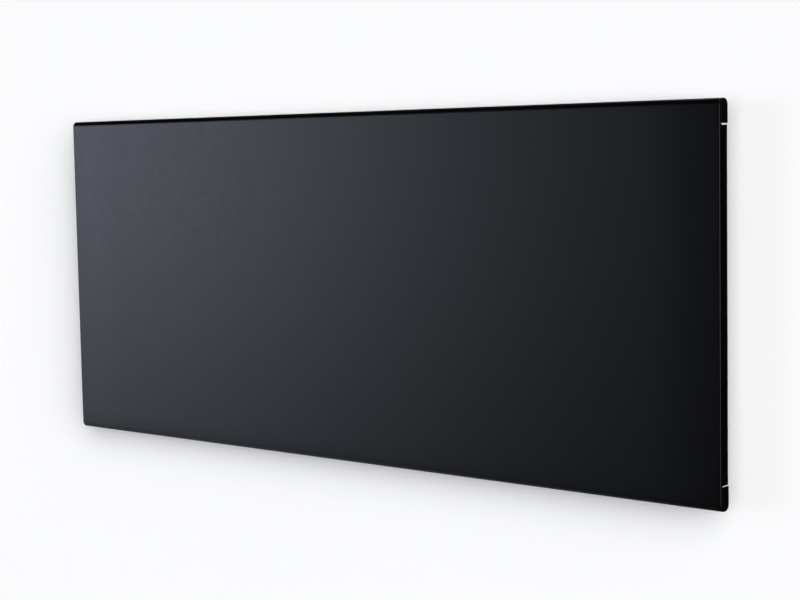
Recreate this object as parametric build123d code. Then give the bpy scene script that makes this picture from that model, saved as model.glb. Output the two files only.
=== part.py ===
from build123d import *
from math import degrees, radians, tan
import os

# Infrared panel heater, hung on a wall bracket.
# Frame: origin on the wall, at the centre of the four screw slots of the bracket.
# +X runs to the right as seen from the room, -Y points into the room, +Z is up.
# All sizes are in millimetres. "depth" is counted from the front face towards the wall.

# ---- Outside of the panel ------------------------------------------------------------
WIDTH = 1200.0          # over the side folds
HEIGHT = 500.0          # over the rolled top and bottom edges
DEPTH = 20.0            # front face to the back of the rolled edges
WALL_GAP = 30.0         # back of the rolled edges to the wall

# ---- Front tray: one folded sheet of coated steel --------------------------------------
SHEET = 1.0
EDGE_R = 8.0            # outside radius of the rolled edges, front and rear
FOLD_R = 2.5            # outside radius of the side folds
FLANGE_DEPTH = 18.0     # side flange, from the front face
LIP_DEPTH = 5.0         # what stays of the side flange in front of each corner cap
REAR_LIP = 24.0         # outside of the rolled edge to the free edge of its rear lip

# ---- Corner caps ------------------------------------------------------------------------
CAP_HEIGHT = 30.0
CAP_SLOT = 2.0          # open slot between a cap and the side flange
CAP_PLATE = 2.0         # thickness of the end plate
CAP_WALL = 2.0          # walls of the plug inside the rolled edge
CAP_REACH = 16.0        # length of the plug
CAP_ROUND = 0.6         # rounding of the end plate
CAP_BOSS_R = 3.2
CAP_SCREW_Z = 15.0      # screw to the outside of the rolled edge
CAP_SCREW_LENGTH = 10.0
FIT_GAP = 0.2           # plug to sheet, all round

# ---- Heating sandwich, from the front sheet backwards ------------------------------------
MICA = 0.5
TRACK = 0.3
REFLECTOR = 0.2
BOARD = 8.0
TRACK_WIDTH = 14.0
TRACK_PITCH = 21.0
TRACK_MARGIN = 24.0     # least distance of the track to the edge of the mica
TAG_WIDTH = 10.0
TAG_HEIGHT = 9.0
TAG_SHEET = 0.5
TAG_HOLE_R = 7.5        # hole through mica, reflector and board at each tag

# ---- Back cover: a pressed pan --------------------------------------------------------------
COVER_SHEET = 0.8
COVER_MARGIN_X = 45.0   # outside of the panel to the wall of the pan
COVER_MARGIN_Z = 35.0
COVER_CORNER_R = 8.0
COVER_EDGE_R = 2.5
COVER_FLANGE = 12.0
BOARD_GAP = 3.0         # sandwich to the wall of the pan
BEAD_WIDTH = 18.0
BEAD_MARGIN = 50.0      # end of a bead to the wall of the pan
BEAD_HEIGHT = 1.6
BEAD_SLOPE = 35.0       # degrees off the vertical
BEAD_TO_BOX = 30.0      # middle of the outer beads to the side of the terminal box

# ---- Fasteners of the back cover --------------------------------------------------------------
STUD_R = 2.0
STUD_LENGTH = 6.0
STUDS_ALONG = 9
STUDS_UP = 3
NUT_ACROSS = 7.0
NUT_THICK = 3.2
WASHER_R = 4.5
WASHER_THICK = 0.8
HOLE_PLAY = 0.3         # radius of a screw hole over the radius of its screw
THREAD_GAP = 0.05       # radius of a tapped hole over the radius of its screw
SCREW_R = 1.5           # self-tapping screws of caps and terminal box
SCREW_HEAD_R = 2.9
SCREW_HEAD = 2.0
SCREW_HEAD_ROUND = 0.9

# ---- Hanging rails on the heater ----------------------------------------------------------------
RAIL_SHEET = 1.2
RAIL_WEB = 32.0
RAIL_FLANGE = 13.0
RAIL_HEIGHT = 16.0      # back cover to the outside of the web
RAIL_MARGIN = 15.0      # end of a rail to the edge of the bracket, seen from the room
RAIL_BEND_R = 2.5
WINDOW_WIDTH = 10.0
WINDOW_PLAY = 2.0       # under the hook when the heater is lifted
RIVET_R = 1.6
RIVET_HEAD_R = 3.2
RIVET_HEAD = 1.0
RIVET_HEAD_ROUND = 0.6
RIVET_BULB_R = 2.4      # set end of a rivet, inside the cover
RIVET_BULB = 2.0
RIVETS_UP = 4           # in each flange of a rail
RIVET_MARGIN = 20.0     # first rivet to the end of the rail

# ---- Wall bracket: one pressed frame with four hooks -----------------------------------------------
BRACKET_SHEET = 2.0
BRACKET_MARGIN_X = 290.0  # side of the panel to the side of the bracket
BRACKET_MARGIN_Z = 90.0
UPRIGHT_WIDTH = 62.0
CROSS_WIDTH = 44.0
BRACKET_CORNER_R = 10.0
BRACKET_RIM = 9.0       # folded edge that stiffens the frame
SLOT_MARGIN_X = 25.0    # middle of a screw slot to the side of the bracket
SLOT_MARGIN_Z = 22.0
SLOT_R = 3.5            # half the width of a screw slot
SLOT_LENGTH = 12.0      # end to end, along X
HOOK_MARGIN_X = 44.0    # hook to the side of the bracket
HOOK_MARGIN_Z = 60.0    # saddle of the upper hooks to the top of the bracket
HOOK_STEM = 9.0
HOOK_TONGUE = 10.0      # how far the tongue stands above the saddle
HOOK_TONGUE_DEPTH = 4.0
HOOK_TIP_R = 1.6
HOOK_GUSSET = 6.0
HOOK_PLAY = 0.5         # tongue to the web in front of it
SEAT_GAP = 0.3          # web to saddle and web to bumper
LIFT = 11.0             # travel that frees the tongues
BUMPER_R = 9.0
BUMPER_TIP_R = 6.5
BUMPER_STEM_R = 3.0
BUMPER_ROUND = 1.5
BUMPER_DROP = 50.0      # bumper to the saddle of the nearest hook

# ---- Terminal box -------------------------------------------------------------------------------------
BOX_MARGIN_X = 170.0    # middle of the box to the right side of the panel
BOX_MARGIN_Z = 83.0     # and to the bottom of the panel
BOX_WIDTH = 120.0
BOX_HEIGHT = 66.0
BOX_DEPTH = 26.0
BOX_WALL = 2.2
BOX_CORNER_R = 6.0
LID_THICK = 2.6
LID_RIM = 1.6           # how far the lid's rim reaches into the box
LID_PLAY = 0.3
SEAL_R = 1.0
BOSS_R = 4.2
BOSS_INSET = 7.5        # lid screw to the outside of the box
BOX_SCREW_X = 38.0      # screws of the box floor, off the middle of the box
BOX_SCREW_Z = 21.0
LID_SCREW_LENGTH = 14.0
SCREW_BITE = 3.0        # floor screws past the back cover
LID_RIM_WALL = 1.6
LID_ROUND = 1.2
LID_SINK = 1.0          # screw heads below the face of the lid
HEAD_PLAY = 0.4         # round a sunk screw head
GROMMET_LIP = 1.2
GROMMET_DROP = 12.5     # grommet to the top of the box
BLOCK_DROP = 6.0        # terminal block below the middle of the box
BLOCK_ROUND = 1.0
BLOCK_WIDTH = 33.0
BLOCK_HEIGHT = 16.0
BLOCK_DEPTH = 13.0
BLOCK_POLES = 3
POLE_PITCH = 10.0
PASSAGE_R = 2.4
CLAMP_SCREW_R = 1.8
CLAMP_SCREW_SINK = 1.5  # head below the face of the block
CLAMP_SLOT = 0.8
CLAMP_SLOT_DEPTH = 1.0
GROMMET_R = 6.0
GROMMET_FLANGE_R = 8.5
GROMMET_BORE_R = 4.4
EARTH_R = 2.0
EARTH_LENGTH = 12.0
EARTH_SIDE = 36.0       # earthing stud to the middle of the box
EARTH_RISE = 2.0        # and above the middle of the terminal block
TAG_NECK_WIDTH = 3.0
TAG_NECK = 5.0          # barrel of the ring tag, past its ring

# ---- Cable gland ------------------------------------------------------------------------------------------
GLAND_R = 8.0           # outside of the threaded shank
GLAND_ACROSS = 20.0
GLAND_FLANGE = 4.0
GLAND_NUT = 16.0
GLAND_BORE_R = 5.6
SEAL_BORE_R = 4.0
SEAL_LENGTH = 8.0
SEAL_OUTER_R = 6.6
LOCK_NUT = 3.5
SEAL_LIP = 3.0          # mouth of the cap nut to the seal
SEAL_STAND = 1.0        # seal past the end of its socket
NUT_DOME = 5.0          # round part of the cap nut
NUT_DOME_R = 3.0
NUT_GAP = 0.4           # cap nut to the hexagon of the body

# ---- Thermal cut-outs and leads ------------------------------------------------------------------------------
CUTOUT_R = 8.0
CUTOUT_THICK = 5.0
CUTOUT_ROUND = 1.0
BLADE_WIDTH = 5.0
BLADE_SHEET = 0.8
BLADE_REACH = 8.6       # middle of a cut-out to the end of a blade
CUTOUT_PLACES = (-55.0, 95.0)  # heights of the two cut-outs
LEAD_R = 1.2
LEAD_BEND = 5.0         # largest bend that the grooves leave room for
LEAD_MARGIN = 76.0      # upright leads to the right side of the panel
GROOVE_WIDTH = 7.0
POCKET_PLAY = 1.0       # pockets and grooves of the board to what lies in them
LEAD_SPREAD = 2.5       # each lead to the middle of the grommet
LEAD_RISE = 12.0        # live lead, straight out of the block
EARTH_LOOP = 7.0        # earth lead above the ring tag

# ---- Places that follow from the sizes -----------------------------------------------------------------------
HALF_W = WIDTH / 2
HALF_H = HEIGHT / 2
FRONT_MICA = SHEET
TRACK_FRONT = FRONT_MICA + MICA
REAR_MICA = TRACK_FRONT + TRACK
REFLECTOR_FRONT = REAR_MICA + MICA
BOARD_FRONT = REFLECTOR_FRONT + REFLECTOR
COVER_INSIDE = BOARD_FRONT + BOARD
COVER_BACK = COVER_INSIDE + COVER_SHEET
LEAD_DEPTH = BOARD_FRONT + CUTOUT_THICK + BLADE_SHEET / 2
LEAD_X = HALF_W - LEAD_MARGIN
COVER_HALF_X = HALF_W - COVER_MARGIN_X
COVER_HALF_Z = HALF_H - COVER_MARGIN_Z
SHEET_W = 2 * (COVER_HALF_X - COVER_SHEET - BOARD_GAP)
SHEET_H = 2 * (COVER_HALF_Z - COVER_SHEET - BOARD_GAP)
TRACK_ROOM = SHEET_H - 2 * TRACK_MARGIN - TRACK_WIDTH
TRACK_RUNS = 2 * int((TRACK_ROOM / TRACK_PITCH + 1) / 2)
TRACK_HALF_Z = (TRACK_RUNS - 1) * TRACK_PITCH / 2
TRACK_HALF_X = SHEET_W / 2 - TRACK_MARGIN
WALL = DEPTH + WALL_GAP
BRACKET_WIDTH = WIDTH - 2 * BRACKET_MARGIN_X
BRACKET_HEIGHT = HEIGHT - 2 * BRACKET_MARGIN_Z
SLOT_SPACING_X = BRACKET_WIDTH - 2 * SLOT_MARGIN_X
SLOT_SPACING_Z = BRACKET_HEIGHT - 2 * SLOT_MARGIN_Z
RAIL_X = BRACKET_WIDTH / 2 - HOOK_MARGIN_X
RAIL_LENGTH = BRACKET_HEIGHT - 2 * RAIL_MARGIN
HOOK_Z = BRACKET_HEIGHT / 2 - HOOK_MARGIN_Z
BUMPER_Z = HOOK_Z - BUMPER_DROP
BRACKET_FRONT = WALL - BRACKET_SHEET
RAIL_BACK = COVER_BACK + RAIL_HEIGHT
WEB_FRONT = RAIL_BACK - RAIL_SHEET
TONGUE_BACK = WEB_FRONT - HOOK_PLAY
TONGUE_FRONT = TONGUE_BACK - HOOK_TONGUE_DEPTH
BOX_X = HALF_W - BOX_MARGIN_X
BOX_Z = BOX_MARGIN_Z - HALF_H
BOX_BACK = COVER_BACK + BOX_DEPTH
LID_SEAT = BOX_BACK + LID_THICK - LID_SINK
GLAND_DEPTH = COVER_BACK + BOX_DEPTH / 2
BOX_BOTTOM = BOX_Z - BOX_HEIGHT / 2
BLOCK_Z = BOX_Z - BLOCK_DROP
GROMMET_Z = BOX_Z + BOX_HEIGHT / 2 - GROMMET_DROP
BLOCK_FRONT = COVER_BACK + BOX_WALL
EARTH_X = BOX_X + EARTH_SIDE
EARTH_Z = BLOCK_Z + EARTH_RISE


def y_at(depth):
    """Y of a depth behind the front face."""
    return depth - WALL


def slab(sketch, front, back):
    """A sketch drawn as seen from the room, with thickness from one depth to another."""
    plane = Plane(origin=(0, y_at(back), 0), x_dir=(1, 0, 0), z_dir=(0, -1, 0))
    return extrude(plane * sketch, back - front)


def bar(sketch, left, right):
    """A side view (Y across, Z up) with length from one X to another."""
    plane = Plane(origin=(left, 0, 0), x_dir=(0, 1, 0), z_dir=(1, 0, 0))
    return extrude(plane * sketch, right - left)


def block(left, right, front, back, bottom, top):
    """A plain block between two X, two depths and two heights."""
    corner = Pos(left, y_at(front), bottom)
    return corner * Box(right - left, back - front, top - bottom, align=(Align.MIN,) * 3)


def rod(radius, x, z, front, back):
    """A round rod that runs from one depth to another."""
    return slab(Pos(x, z) * Circle(radius), front, back)


def pan_screw(x, z, seat, length):
    """A pan-head screw whose head stands behind the seat and whose shank points to the room."""
    head = rod(SCREW_HEAD_R, x, z, seat, seat + SCREW_HEAD)
    rim = head.edges().filter_by(GeomType.CIRCLE).sort_by(Axis.Y)[-1]
    return fillet(rim, SCREW_HEAD_ROUND) + rod(SCREW_R - THREAD_GAP, x, z, seat - length, seat)


def hexagon_ring(x, z, bore_r, front, back):
    """A hexagon nut for the studs, from one depth to another."""
    shape = RegularPolygon(NUT_ACROSS / 2, 6, major_radius=False) - Circle(bore_r)
    return slab(Pos(x, z) * shape, front, back)


def sheet_outline(corner_r=0.0):
    """Outline of every layer of the heating sandwich."""
    if corner_r:
        return RectangleRounded(SHEET_W, SHEET_H, corner_r)
    return Rectangle(SHEET_W, SHEET_H)


# ---- Front tray and caps -----------------------------------------------------------------------------------

def edge_profile(inset=0.0):
    """Side view of the rolled panel: flat front and back, round edges at top and bottom."""
    outline = RectangleRounded(DEPTH - 2 * inset, HEIGHT - 2 * inset, EDGE_R - inset)
    return Pos(y_at(DEPTH / 2), 0) * outline


def closed_form(inset):
    """The panel as one closed body, its side edges rounded by the fold."""
    body = bar(edge_profile(inset), inset - HALF_W, HALF_W - inset)
    ends = body.faces().filter_by(Axis.X).edges()
    return fillet(ends, FOLD_R - inset)


def front_tray():
    """Front sheet, rolled edges and side flanges, folded from one sheet."""
    tray = closed_form(0) - closed_form(SHEET)
    lip_edge = HALF_H - REAR_LIP
    behind = DEPTH + SHEET
    tray -= block(-HALF_W, HALF_W, DEPTH - 2 * SHEET, behind, -lip_edge, lip_edge)
    notch_z = HALF_H - CAP_HEIGHT - CAP_SLOT
    for side in (-1, 1):
        outer = side * (HALF_W + SHEET)
        inner = side * (HALF_W - CAP_PLATE)
        left, right = min(outer, inner), max(outer, inner)
        tray -= block(left, right, FLANGE_DEPTH, behind, -HALF_H, HALF_H)
        tray -= block(left, right, LIP_DEPTH, behind, notch_z, HALF_H + SHEET)
        tray -= block(left, right, LIP_DEPTH, behind, -HALF_H - SHEET, -notch_z)
    for x, z in cap_screw_places():
        tray -= rod(SCREW_R + HOLE_PLAY, x, z, DEPTH - 2 * SHEET, behind)
    return tray


def cap_screw_places():
    """Where a screw holds each corner cap, on the rear lip."""
    x = HALF_W - CAP_PLATE - CAP_REACH / 2
    z = HALF_H - CAP_SCREW_Z
    return [(side * x, rise * z) for side in (-1, 1) for rise in (-1, 1)]


def corner_cap(side, rise):
    """A moulded cap: an end plate behind the front lip and a hollow plug in the rolled edge."""
    front = LIP_DEPTH + FIT_GAP
    plate_low = HALF_H - CAP_HEIGHT
    plate_area = Pos(y_at((front + DEPTH) / 2), (plate_low + HALF_H) / 2)
    outline = edge_profile() & plate_area * Rectangle(DEPTH - front, CAP_HEIGHT)
    plate = bar(outline, HALF_W - CAP_PLATE, HALF_W)
    outer = plate.faces().sort_by(Axis.X)[-1]
    plate = fillet(outer.edges(), CAP_ROUND)

    plug_low = HALF_H - REAR_LIP + FIT_GAP
    plug_top = HALF_H - SHEET - FIT_GAP
    plug_area = Pos(y_at((front + DEPTH) / 2), (plug_low + plug_top) / 2)
    section = edge_profile(SHEET + FIT_GAP) & plug_area * Rectangle(DEPTH - front, plug_top - plug_low)
    plug_end = HALF_W - CAP_PLATE - CAP_REACH
    plug = bar(section, plug_end, HALF_W - CAP_PLATE)
    hollow = bar(offset(section, -CAP_WALL), plug_end - 1, HALF_W - CAP_PLATE)
    x, z = cap_screw_places()[-1]
    boss_back = DEPTH - SHEET - FIT_GAP - CAP_WALL
    boss = rod(CAP_BOSS_R, x, z, front + CAP_WALL, boss_back + CAP_WALL / 2)
    cap = plate + (plug - hollow) + boss
    cap -= rod(SCREW_R, x, z, front + CAP_WALL, DEPTH)
    if side < 0:
        cap = mirror(cap, Plane.YZ)
    if rise < 0:
        cap = mirror(cap, Plane.XY)
    return cap


def cap_screws():
    """One pan-head screw for each cap, through the rear lip."""
    return [pan_screw(x, z, DEPTH, CAP_SCREW_LENGTH) for x, z in cap_screw_places()]


# ---- Heating sandwich --------------------------------------------------------------------------------------

def tag_places():
    """The two ends of the heating track, where its tags stand."""
    return [(LEAD_X, -TRACK_HALF_Z), (LEAD_X, TRACK_HALF_Z)]


def mica(front, pierced):
    """A mica sheet; the rear one is pierced for the tags."""
    outline = sheet_outline()
    if pierced:
        for x, z in tag_places():
            outline -= Pos(x, z) * Circle(TAG_HOLE_R)
    return slab(outline, front, front + MICA)


def heating_track():
    """One unbroken foil track that goes to and fro behind the front sheet."""
    track = Sketch()
    turn_r = TRACK_PITCH / 2
    run_end = TRACK_HALF_X - turn_r
    for run in range(TRACK_RUNS):
        z = run * TRACK_PITCH - TRACK_HALF_Z
        track += Pos(0, z) * Rectangle(2 * run_end, TRACK_WIDTH)
    for turn in range(TRACK_RUNS - 1):
        side = -1 if turn % 2 == 0 else 1
        z = (turn + 0.5) * TRACK_PITCH - TRACK_HALF_Z
        ring = Circle(turn_r + TRACK_WIDTH / 2) - Circle(turn_r - TRACK_WIDTH / 2)
        half = Pos(side * TRACK_PITCH / 2, 0) * Rectangle(TRACK_PITCH, 3 * TRACK_PITCH)
        track += Pos(side * run_end, z) * (ring & half)
    for x, z in tag_places():
        tail = x + TAG_WIDTH / 2 - run_end
        track += Pos(run_end + tail / 2, z) * Rectangle(tail, TRACK_WIDTH)
    return slab(track, TRACK_FRONT, TRACK_FRONT + TRACK)


def track_tags():
    """Tinned tags that stand on the ends of the track, through holes in the layers."""
    tags = []
    for x, z in tag_places():
        foot = Pos(x, z) * Rectangle(TAG_WIDTH, TAG_HEIGHT)
        tags.append(slab(foot, REAR_MICA, REAR_MICA + TAG_SHEET))
    return tags


def reflector():
    """Bright foil that sends the heat forwards."""
    outline = sheet_outline()
    for x, z in tag_places():
        outline -= Pos(x, z) * Circle(TAG_HOLE_R)
    return slab(outline, REFLECTOR_FRONT, BOARD_FRONT)


def insulation_board():
    """Fibre board with pockets for the cut-outs and grooves for the leads."""
    board = slab(sheet_outline(COVER_CORNER_R), BOARD_FRONT, COVER_INSIDE)
    groove_front = LEAD_DEPTH - LEAD_R - POCKET_PLAY
    half = GROOVE_WIDTH / 2
    top = TRACK_HALF_Z
    board -= block(LEAD_X - half, LEAD_X + half, groove_front, COVER_INSIDE, -top, top)
    cross_low = GROMMET_Z - LEAD_SPREAD - half
    cross_high = GROMMET_Z + LEAD_SPREAD + half
    board -= block(BOX_X - GROMMET_R, LEAD_X + half, groove_front, COVER_INSIDE, cross_low, cross_high)
    board -= rod(GROMMET_FLANGE_R + POCKET_PLAY, BOX_X, GROMMET_Z, groove_front, COVER_INSIDE)
    for z in CUTOUT_PLACES:
        board -= rod(CUTOUT_R + POCKET_PLAY, LEAD_X, z, BOARD_FRONT, COVER_INSIDE)
    for x, z in tag_places():
        board -= rod(TAG_HOLE_R, x, z, BOARD_FRONT, COVER_INSIDE)
    for x, z, _ in rivet_places():
        board -= rod(RIVET_BULB_R + POCKET_PLAY, x, z, COVER_INSIDE - RIVET_BULB - POCKET_PLAY, COVER_INSIDE)
    for x, z in box_screw_places():
        board -= rod(SCREW_R + POCKET_PLAY, x, z, COVER_INSIDE - SCREW_BITE - POCKET_PLAY, COVER_INSIDE)
    return board


# ---- Back cover --------------------------------------------------------------------------------------------

def pan_form(inset, front, back):
    """A tray form with rounded corners and a rounded floor edge."""
    width = 2 * (COVER_HALF_X - inset)
    height = 2 * (COVER_HALF_Z - inset)
    form = slab(RectangleRounded(width, height, COVER_CORNER_R - inset), front, back)
    floor_edges = form.faces().sort_by(Axis.Y)[-1].edges()
    return fillet(floor_edges, COVER_EDGE_R - inset)


def bead_places():
    """One bead in the middle, one half-way to each rail, and one beyond each rail."""
    inner = RAIL_X / 2
    outer = BOX_X - BOX_WIDTH / 2 - BEAD_TO_BOX
    return (-outer, -inner, 0, inner, outer)


def bead(x, inset):
    """A long bead pressed outwards from the floor of the pan."""
    length = 2 * (COVER_HALF_Z - BEAD_MARGIN - inset)
    outline = Rot(0, 0, 90) * SlotOverall(length, BEAD_WIDTH - 2 * inset)
    plane = Plane(origin=(x, y_at(COVER_BACK - inset), 0), x_dir=(1, 0, 0), z_dir=(0, 1, 0))
    return extrude(plane * outline, BEAD_HEIGHT, taper=BEAD_SLOPE)


def stud_places():
    """Studs around the flange of the back cover, each place named once."""
    x_out = COVER_HALF_X + COVER_FLANGE / 2
    z_out = COVER_HALF_Z + COVER_FLANGE / 2
    step_x = 2 * x_out / (STUDS_ALONG - 1)
    step_z = 2 * z_out / (STUDS_UP + 1)
    along = [(i * step_x - x_out, z) for i in range(STUDS_ALONG) for z in (-z_out, z_out)]
    up = [(x, (i + 1) * step_z - z_out) for i in range(STUDS_UP) for x in (-x_out, x_out)]
    return along + up


def back_cover():
    """A steel pan over the sandwich, with a flange that lies on the front sheet."""
    flange_w = 2 * (COVER_HALF_X + COVER_FLANGE)
    flange_h = 2 * (COVER_HALF_Z + COVER_FLANGE)
    flange = slab(RectangleRounded(flange_w, flange_h, COVER_CORNER_R), SHEET, SHEET + COVER_SHEET)
    cover = flange + pan_form(0, SHEET, COVER_BACK)
    for x in bead_places():
        cover += bead(x, 0)
    cover -= pan_form(COVER_SHEET, SHEET - 1, COVER_INSIDE)
    for x in bead_places():
        cover -= bead(x, COVER_SHEET)
    for x, z in stud_places():
        cover -= rod(STUD_R + HOLE_PLAY, x, z, 0, SHEET + 2 * COVER_SHEET)
    for x, z, _ in rivet_places():
        cover -= rod(RIVET_R, x, z, COVER_INSIDE - 1, COVER_BACK + 1)
    for x, z in box_screw_places():
        cover -= rod(SCREW_R, x, z, COVER_INSIDE - 1, COVER_BACK + 1)
    cover -= rod(GROMMET_R, BOX_X, GROMMET_Z, COVER_INSIDE - 1, COVER_BACK + 1)
    return cover


def weld_studs():
    """Threaded studs welded to the back of the front sheet."""
    return [rod(STUD_R, x, z, SHEET, SHEET + STUD_LENGTH) for x, z in stud_places()]


def washers():
    """A plain washer on each stud."""
    front = SHEET + COVER_SHEET
    ring = Circle(WASHER_R) - Circle(STUD_R + HOLE_PLAY)
    return [slab(Pos(x, z) * ring, front, front + WASHER_THICK) for x, z in stud_places()]


def flange_nuts():
    """A hexagon nut on each stud."""
    front = SHEET + COVER_SHEET + WASHER_THICK
    bore_r = STUD_R + THREAD_GAP
    return [hexagon_ring(x, z, bore_r, front, front + NUT_THICK) for x, z in stud_places()]


# ---- Hanging rails -----------------------------------------------------------------------------------------

def rivet_places():
    """Each rivet as X, Z and the side of its rail, -1 for left and 1 for right."""
    reach = RAIL_WEB / 2 + RAIL_FLANGE / 2
    low = RIVET_MARGIN - RAIL_LENGTH / 2
    step = -2 * low / (RIVETS_UP - 1)
    return [
        (side * RAIL_X + flange * reach, low + i * step, side)
        for side in (-1, 1)
        for flange in (-1, 1)
        for i in range(RIVETS_UP)
    ]


def hanging_rail(side):
    """A hat-section rail; the wall hooks reach through the windows in its web."""
    half = RAIL_WEB / 2
    reach = half + RAIL_FLANGE
    back = y_at(RAIL_BACK)
    foot = y_at(COVER_BACK + RAIL_SHEET)
    low = y_at(COVER_BACK)
    outer = [(-reach, low), (-reach, foot), (-half, foot), (-half, back)]
    outer += [(half, back), (half, foot), (reach, foot), (reach, low)]
    section = make_face(Polyline(*outer, close=True))
    inner_half = half - RAIL_SHEET
    hollow = Pos(0, (low + y_at(WEB_FRONT)) / 2) * Rectangle(2 * inner_half, RAIL_HEIGHT - RAIL_SHEET)
    plane = Plane.XY.offset(-RAIL_LENGTH / 2)
    rail = extrude(plane * section, RAIL_LENGTH)
    rail = fillet(rail.faces().sort_by(Axis.Y)[-1].edges().filter_by(Axis.Z), RAIL_BEND_R)
    cavity = extrude(plane * hollow, RAIL_LENGTH)
    cavity = fillet(cavity.faces().sort_by(Axis.Y)[-1].edges().filter_by(Axis.Z), RAIL_BEND_R - RAIL_SHEET)
    rail -= cavity
    rail = Pos(side * RAIL_X, 0, 0) * rail
    for z in (-HOOK_Z, HOOK_Z):
        top = z + SEAT_GAP
        bottom = z - HOOK_STEM - LIFT - WINDOW_PLAY
        rail -= block(side * RAIL_X - WINDOW_WIDTH / 2, side * RAIL_X + WINDOW_WIDTH / 2,
                      WEB_FRONT - 1, RAIL_BACK + 1, bottom, top)
    for x, z, rail_side in rivet_places():
        if rail_side == side:
            rail -= rod(RIVET_R, x, z, COVER_BACK - 1, COVER_BACK + RAIL_SHEET + 1)
    return rail


def rail_rivets():
    """Blind rivets through the rail flanges and the back cover."""
    rivets = []
    grip_back = COVER_BACK + RAIL_SHEET
    for x, z, _ in rivet_places():
        shank = rod(RIVET_R - THREAD_GAP, x, z, COVER_INSIDE, grip_back)
        head = rod(RIVET_HEAD_R, x, z, grip_back, grip_back + RIVET_HEAD)
        head = fillet(head.edges().filter_by(GeomType.CIRCLE).sort_by(Axis.Y)[-1], RIVET_HEAD_ROUND)
        bulb = rod(RIVET_BULB_R, x, z, COVER_INSIDE - RIVET_BULB, COVER_INSIDE)
        rivets.append(shank + head + bulb)
    return rivets


# ---- Wall bracket ------------------------------------------------------------------------------------------

def hook_profile(z):
    """Side view of a hook: a stem with a gusset, a saddle and a tongue that points up."""
    root = y_at(BRACKET_FRONT + BRACKET_SHEET / 2)
    points = [
        (root, z - HOOK_STEM - HOOK_GUSSET),
        (y_at(BRACKET_FRONT - HOOK_GUSSET), z - HOOK_STEM),
        (y_at(TONGUE_FRONT), z - HOOK_STEM),
        (y_at(TONGUE_FRONT), z + HOOK_TONGUE),
        (y_at(TONGUE_BACK), z + HOOK_TONGUE),
        (y_at(TONGUE_BACK), z),
        (root, z),
    ]
    outline = make_face(Polyline(*points, close=True))
    tip = outline.vertices().filter_by_position(Axis.X, y_at(TONGUE_FRONT) - 0.1, y_at(TONGUE_BACK) + 0.1)
    round_ones = [v for v in tip if abs(v.Y - z) > HOOK_TIP_R]
    return fillet(round_ones, HOOK_TIP_R)


def wall_bracket():
    """A pressed frame with a folded rim, four screw slots and four hooks bent out of it."""
    outline = RectangleRounded(BRACKET_WIDTH, BRACKET_HEIGHT, BRACKET_CORNER_R)
    window_w = BRACKET_WIDTH - 2 * UPRIGHT_WIDTH
    window_h = BRACKET_HEIGHT - 2 * CROSS_WIDTH
    window = RectangleRounded(window_w, window_h, BRACKET_CORNER_R)
    frame = slab(outline - window, BRACKET_FRONT, WALL)
    rim = outline - offset(outline, -BRACKET_SHEET)
    frame += slab(rim, WALL - BRACKET_RIM, BRACKET_FRONT)
    lug_length = BRACKET_FRONT - TONGUE_FRONT
    for side in (-1, 1):
        for z in (-HOOK_Z, HOOK_Z):
            lug_top = z + HOOK_TONGUE
            lug_bottom = z - HOOK_STEM - HOOK_GUSSET
            gap = Pos(side * (RAIL_X + BRACKET_SHEET / 2 + lug_length / 2), (lug_top + lug_bottom) / 2)
            opening = gap * RectangleRounded(lug_length, lug_top - lug_bottom, HOOK_TIP_R)
            frame -= slab(opening, BRACKET_FRONT - 1, WALL + 1)
        for z in (-BUMPER_Z, BUMPER_Z):
            frame -= rod(BUMPER_STEM_R, side * RAIL_X, z, BRACKET_FRONT - 1, WALL + 1)
        for z in (-HOOK_Z, HOOK_Z):
            left = side * RAIL_X - BRACKET_SHEET / 2
            frame += bar(hook_profile(z), left, left + BRACKET_SHEET)
    slots = GridLocations(SLOT_SPACING_X, SLOT_SPACING_Z, 2, 2) * SlotOverall(SLOT_LENGTH, 2 * SLOT_R)
    for slot in slots:
        frame -= slab(slot, BRACKET_FRONT - 1, WALL + 1)
    return frame


def bumpers():
    """Rubber bumpers that keep the heater square to the wall."""
    tip = RAIL_BACK + SEAT_GAP
    found = []
    for side in (-1, 1):
        for z in (-BUMPER_Z, BUMPER_Z):
            base = y_at(BRACKET_FRONT)
            body = [(0, y_at(tip)), (BUMPER_TIP_R, y_at(tip)), (BUMPER_R, base), (0, base)]
            cone = revolve(make_face(Polyline(*body, close=True)), Axis.Y)
            nose = cone.edges().filter_by(GeomType.CIRCLE).sort_by(Axis.Y)[0]
            cone = fillet(nose, BUMPER_ROUND)
            stem = rod(BUMPER_STEM_R - THREAD_GAP, 0, 0, BRACKET_FRONT, WALL - FIT_GAP)
            found.append(Pos(side * RAIL_X, 0, z) * (cone + stem))
    return found


# ---- Terminal box ------------------------------------------------------------------------------------------

def box_outline(inset=0.0):
    """Outline of the terminal box, seen from the room."""
    shape = RectangleRounded(BOX_WIDTH - 2 * inset, BOX_HEIGHT - 2 * inset, BOX_CORNER_R - inset)
    return Pos(BOX_X, BOX_Z) * shape


def lid_screw_places():
    """The four corners of the terminal box."""
    x = BOX_WIDTH / 2 - BOSS_INSET
    z = BOX_HEIGHT / 2 - BOSS_INSET
    return [(BOX_X + i * x, BOX_Z + j * z) for i in (-1, 1) for j in (-1, 1)]


def box_screw_places():
    """Two screws that hold the box on the back cover."""
    return [(BOX_X - BOX_SCREW_X, BOX_Z + BOX_SCREW_Z), (BOX_X + BOX_SCREW_X, BOX_Z - BOX_SCREW_Z)]


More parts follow.
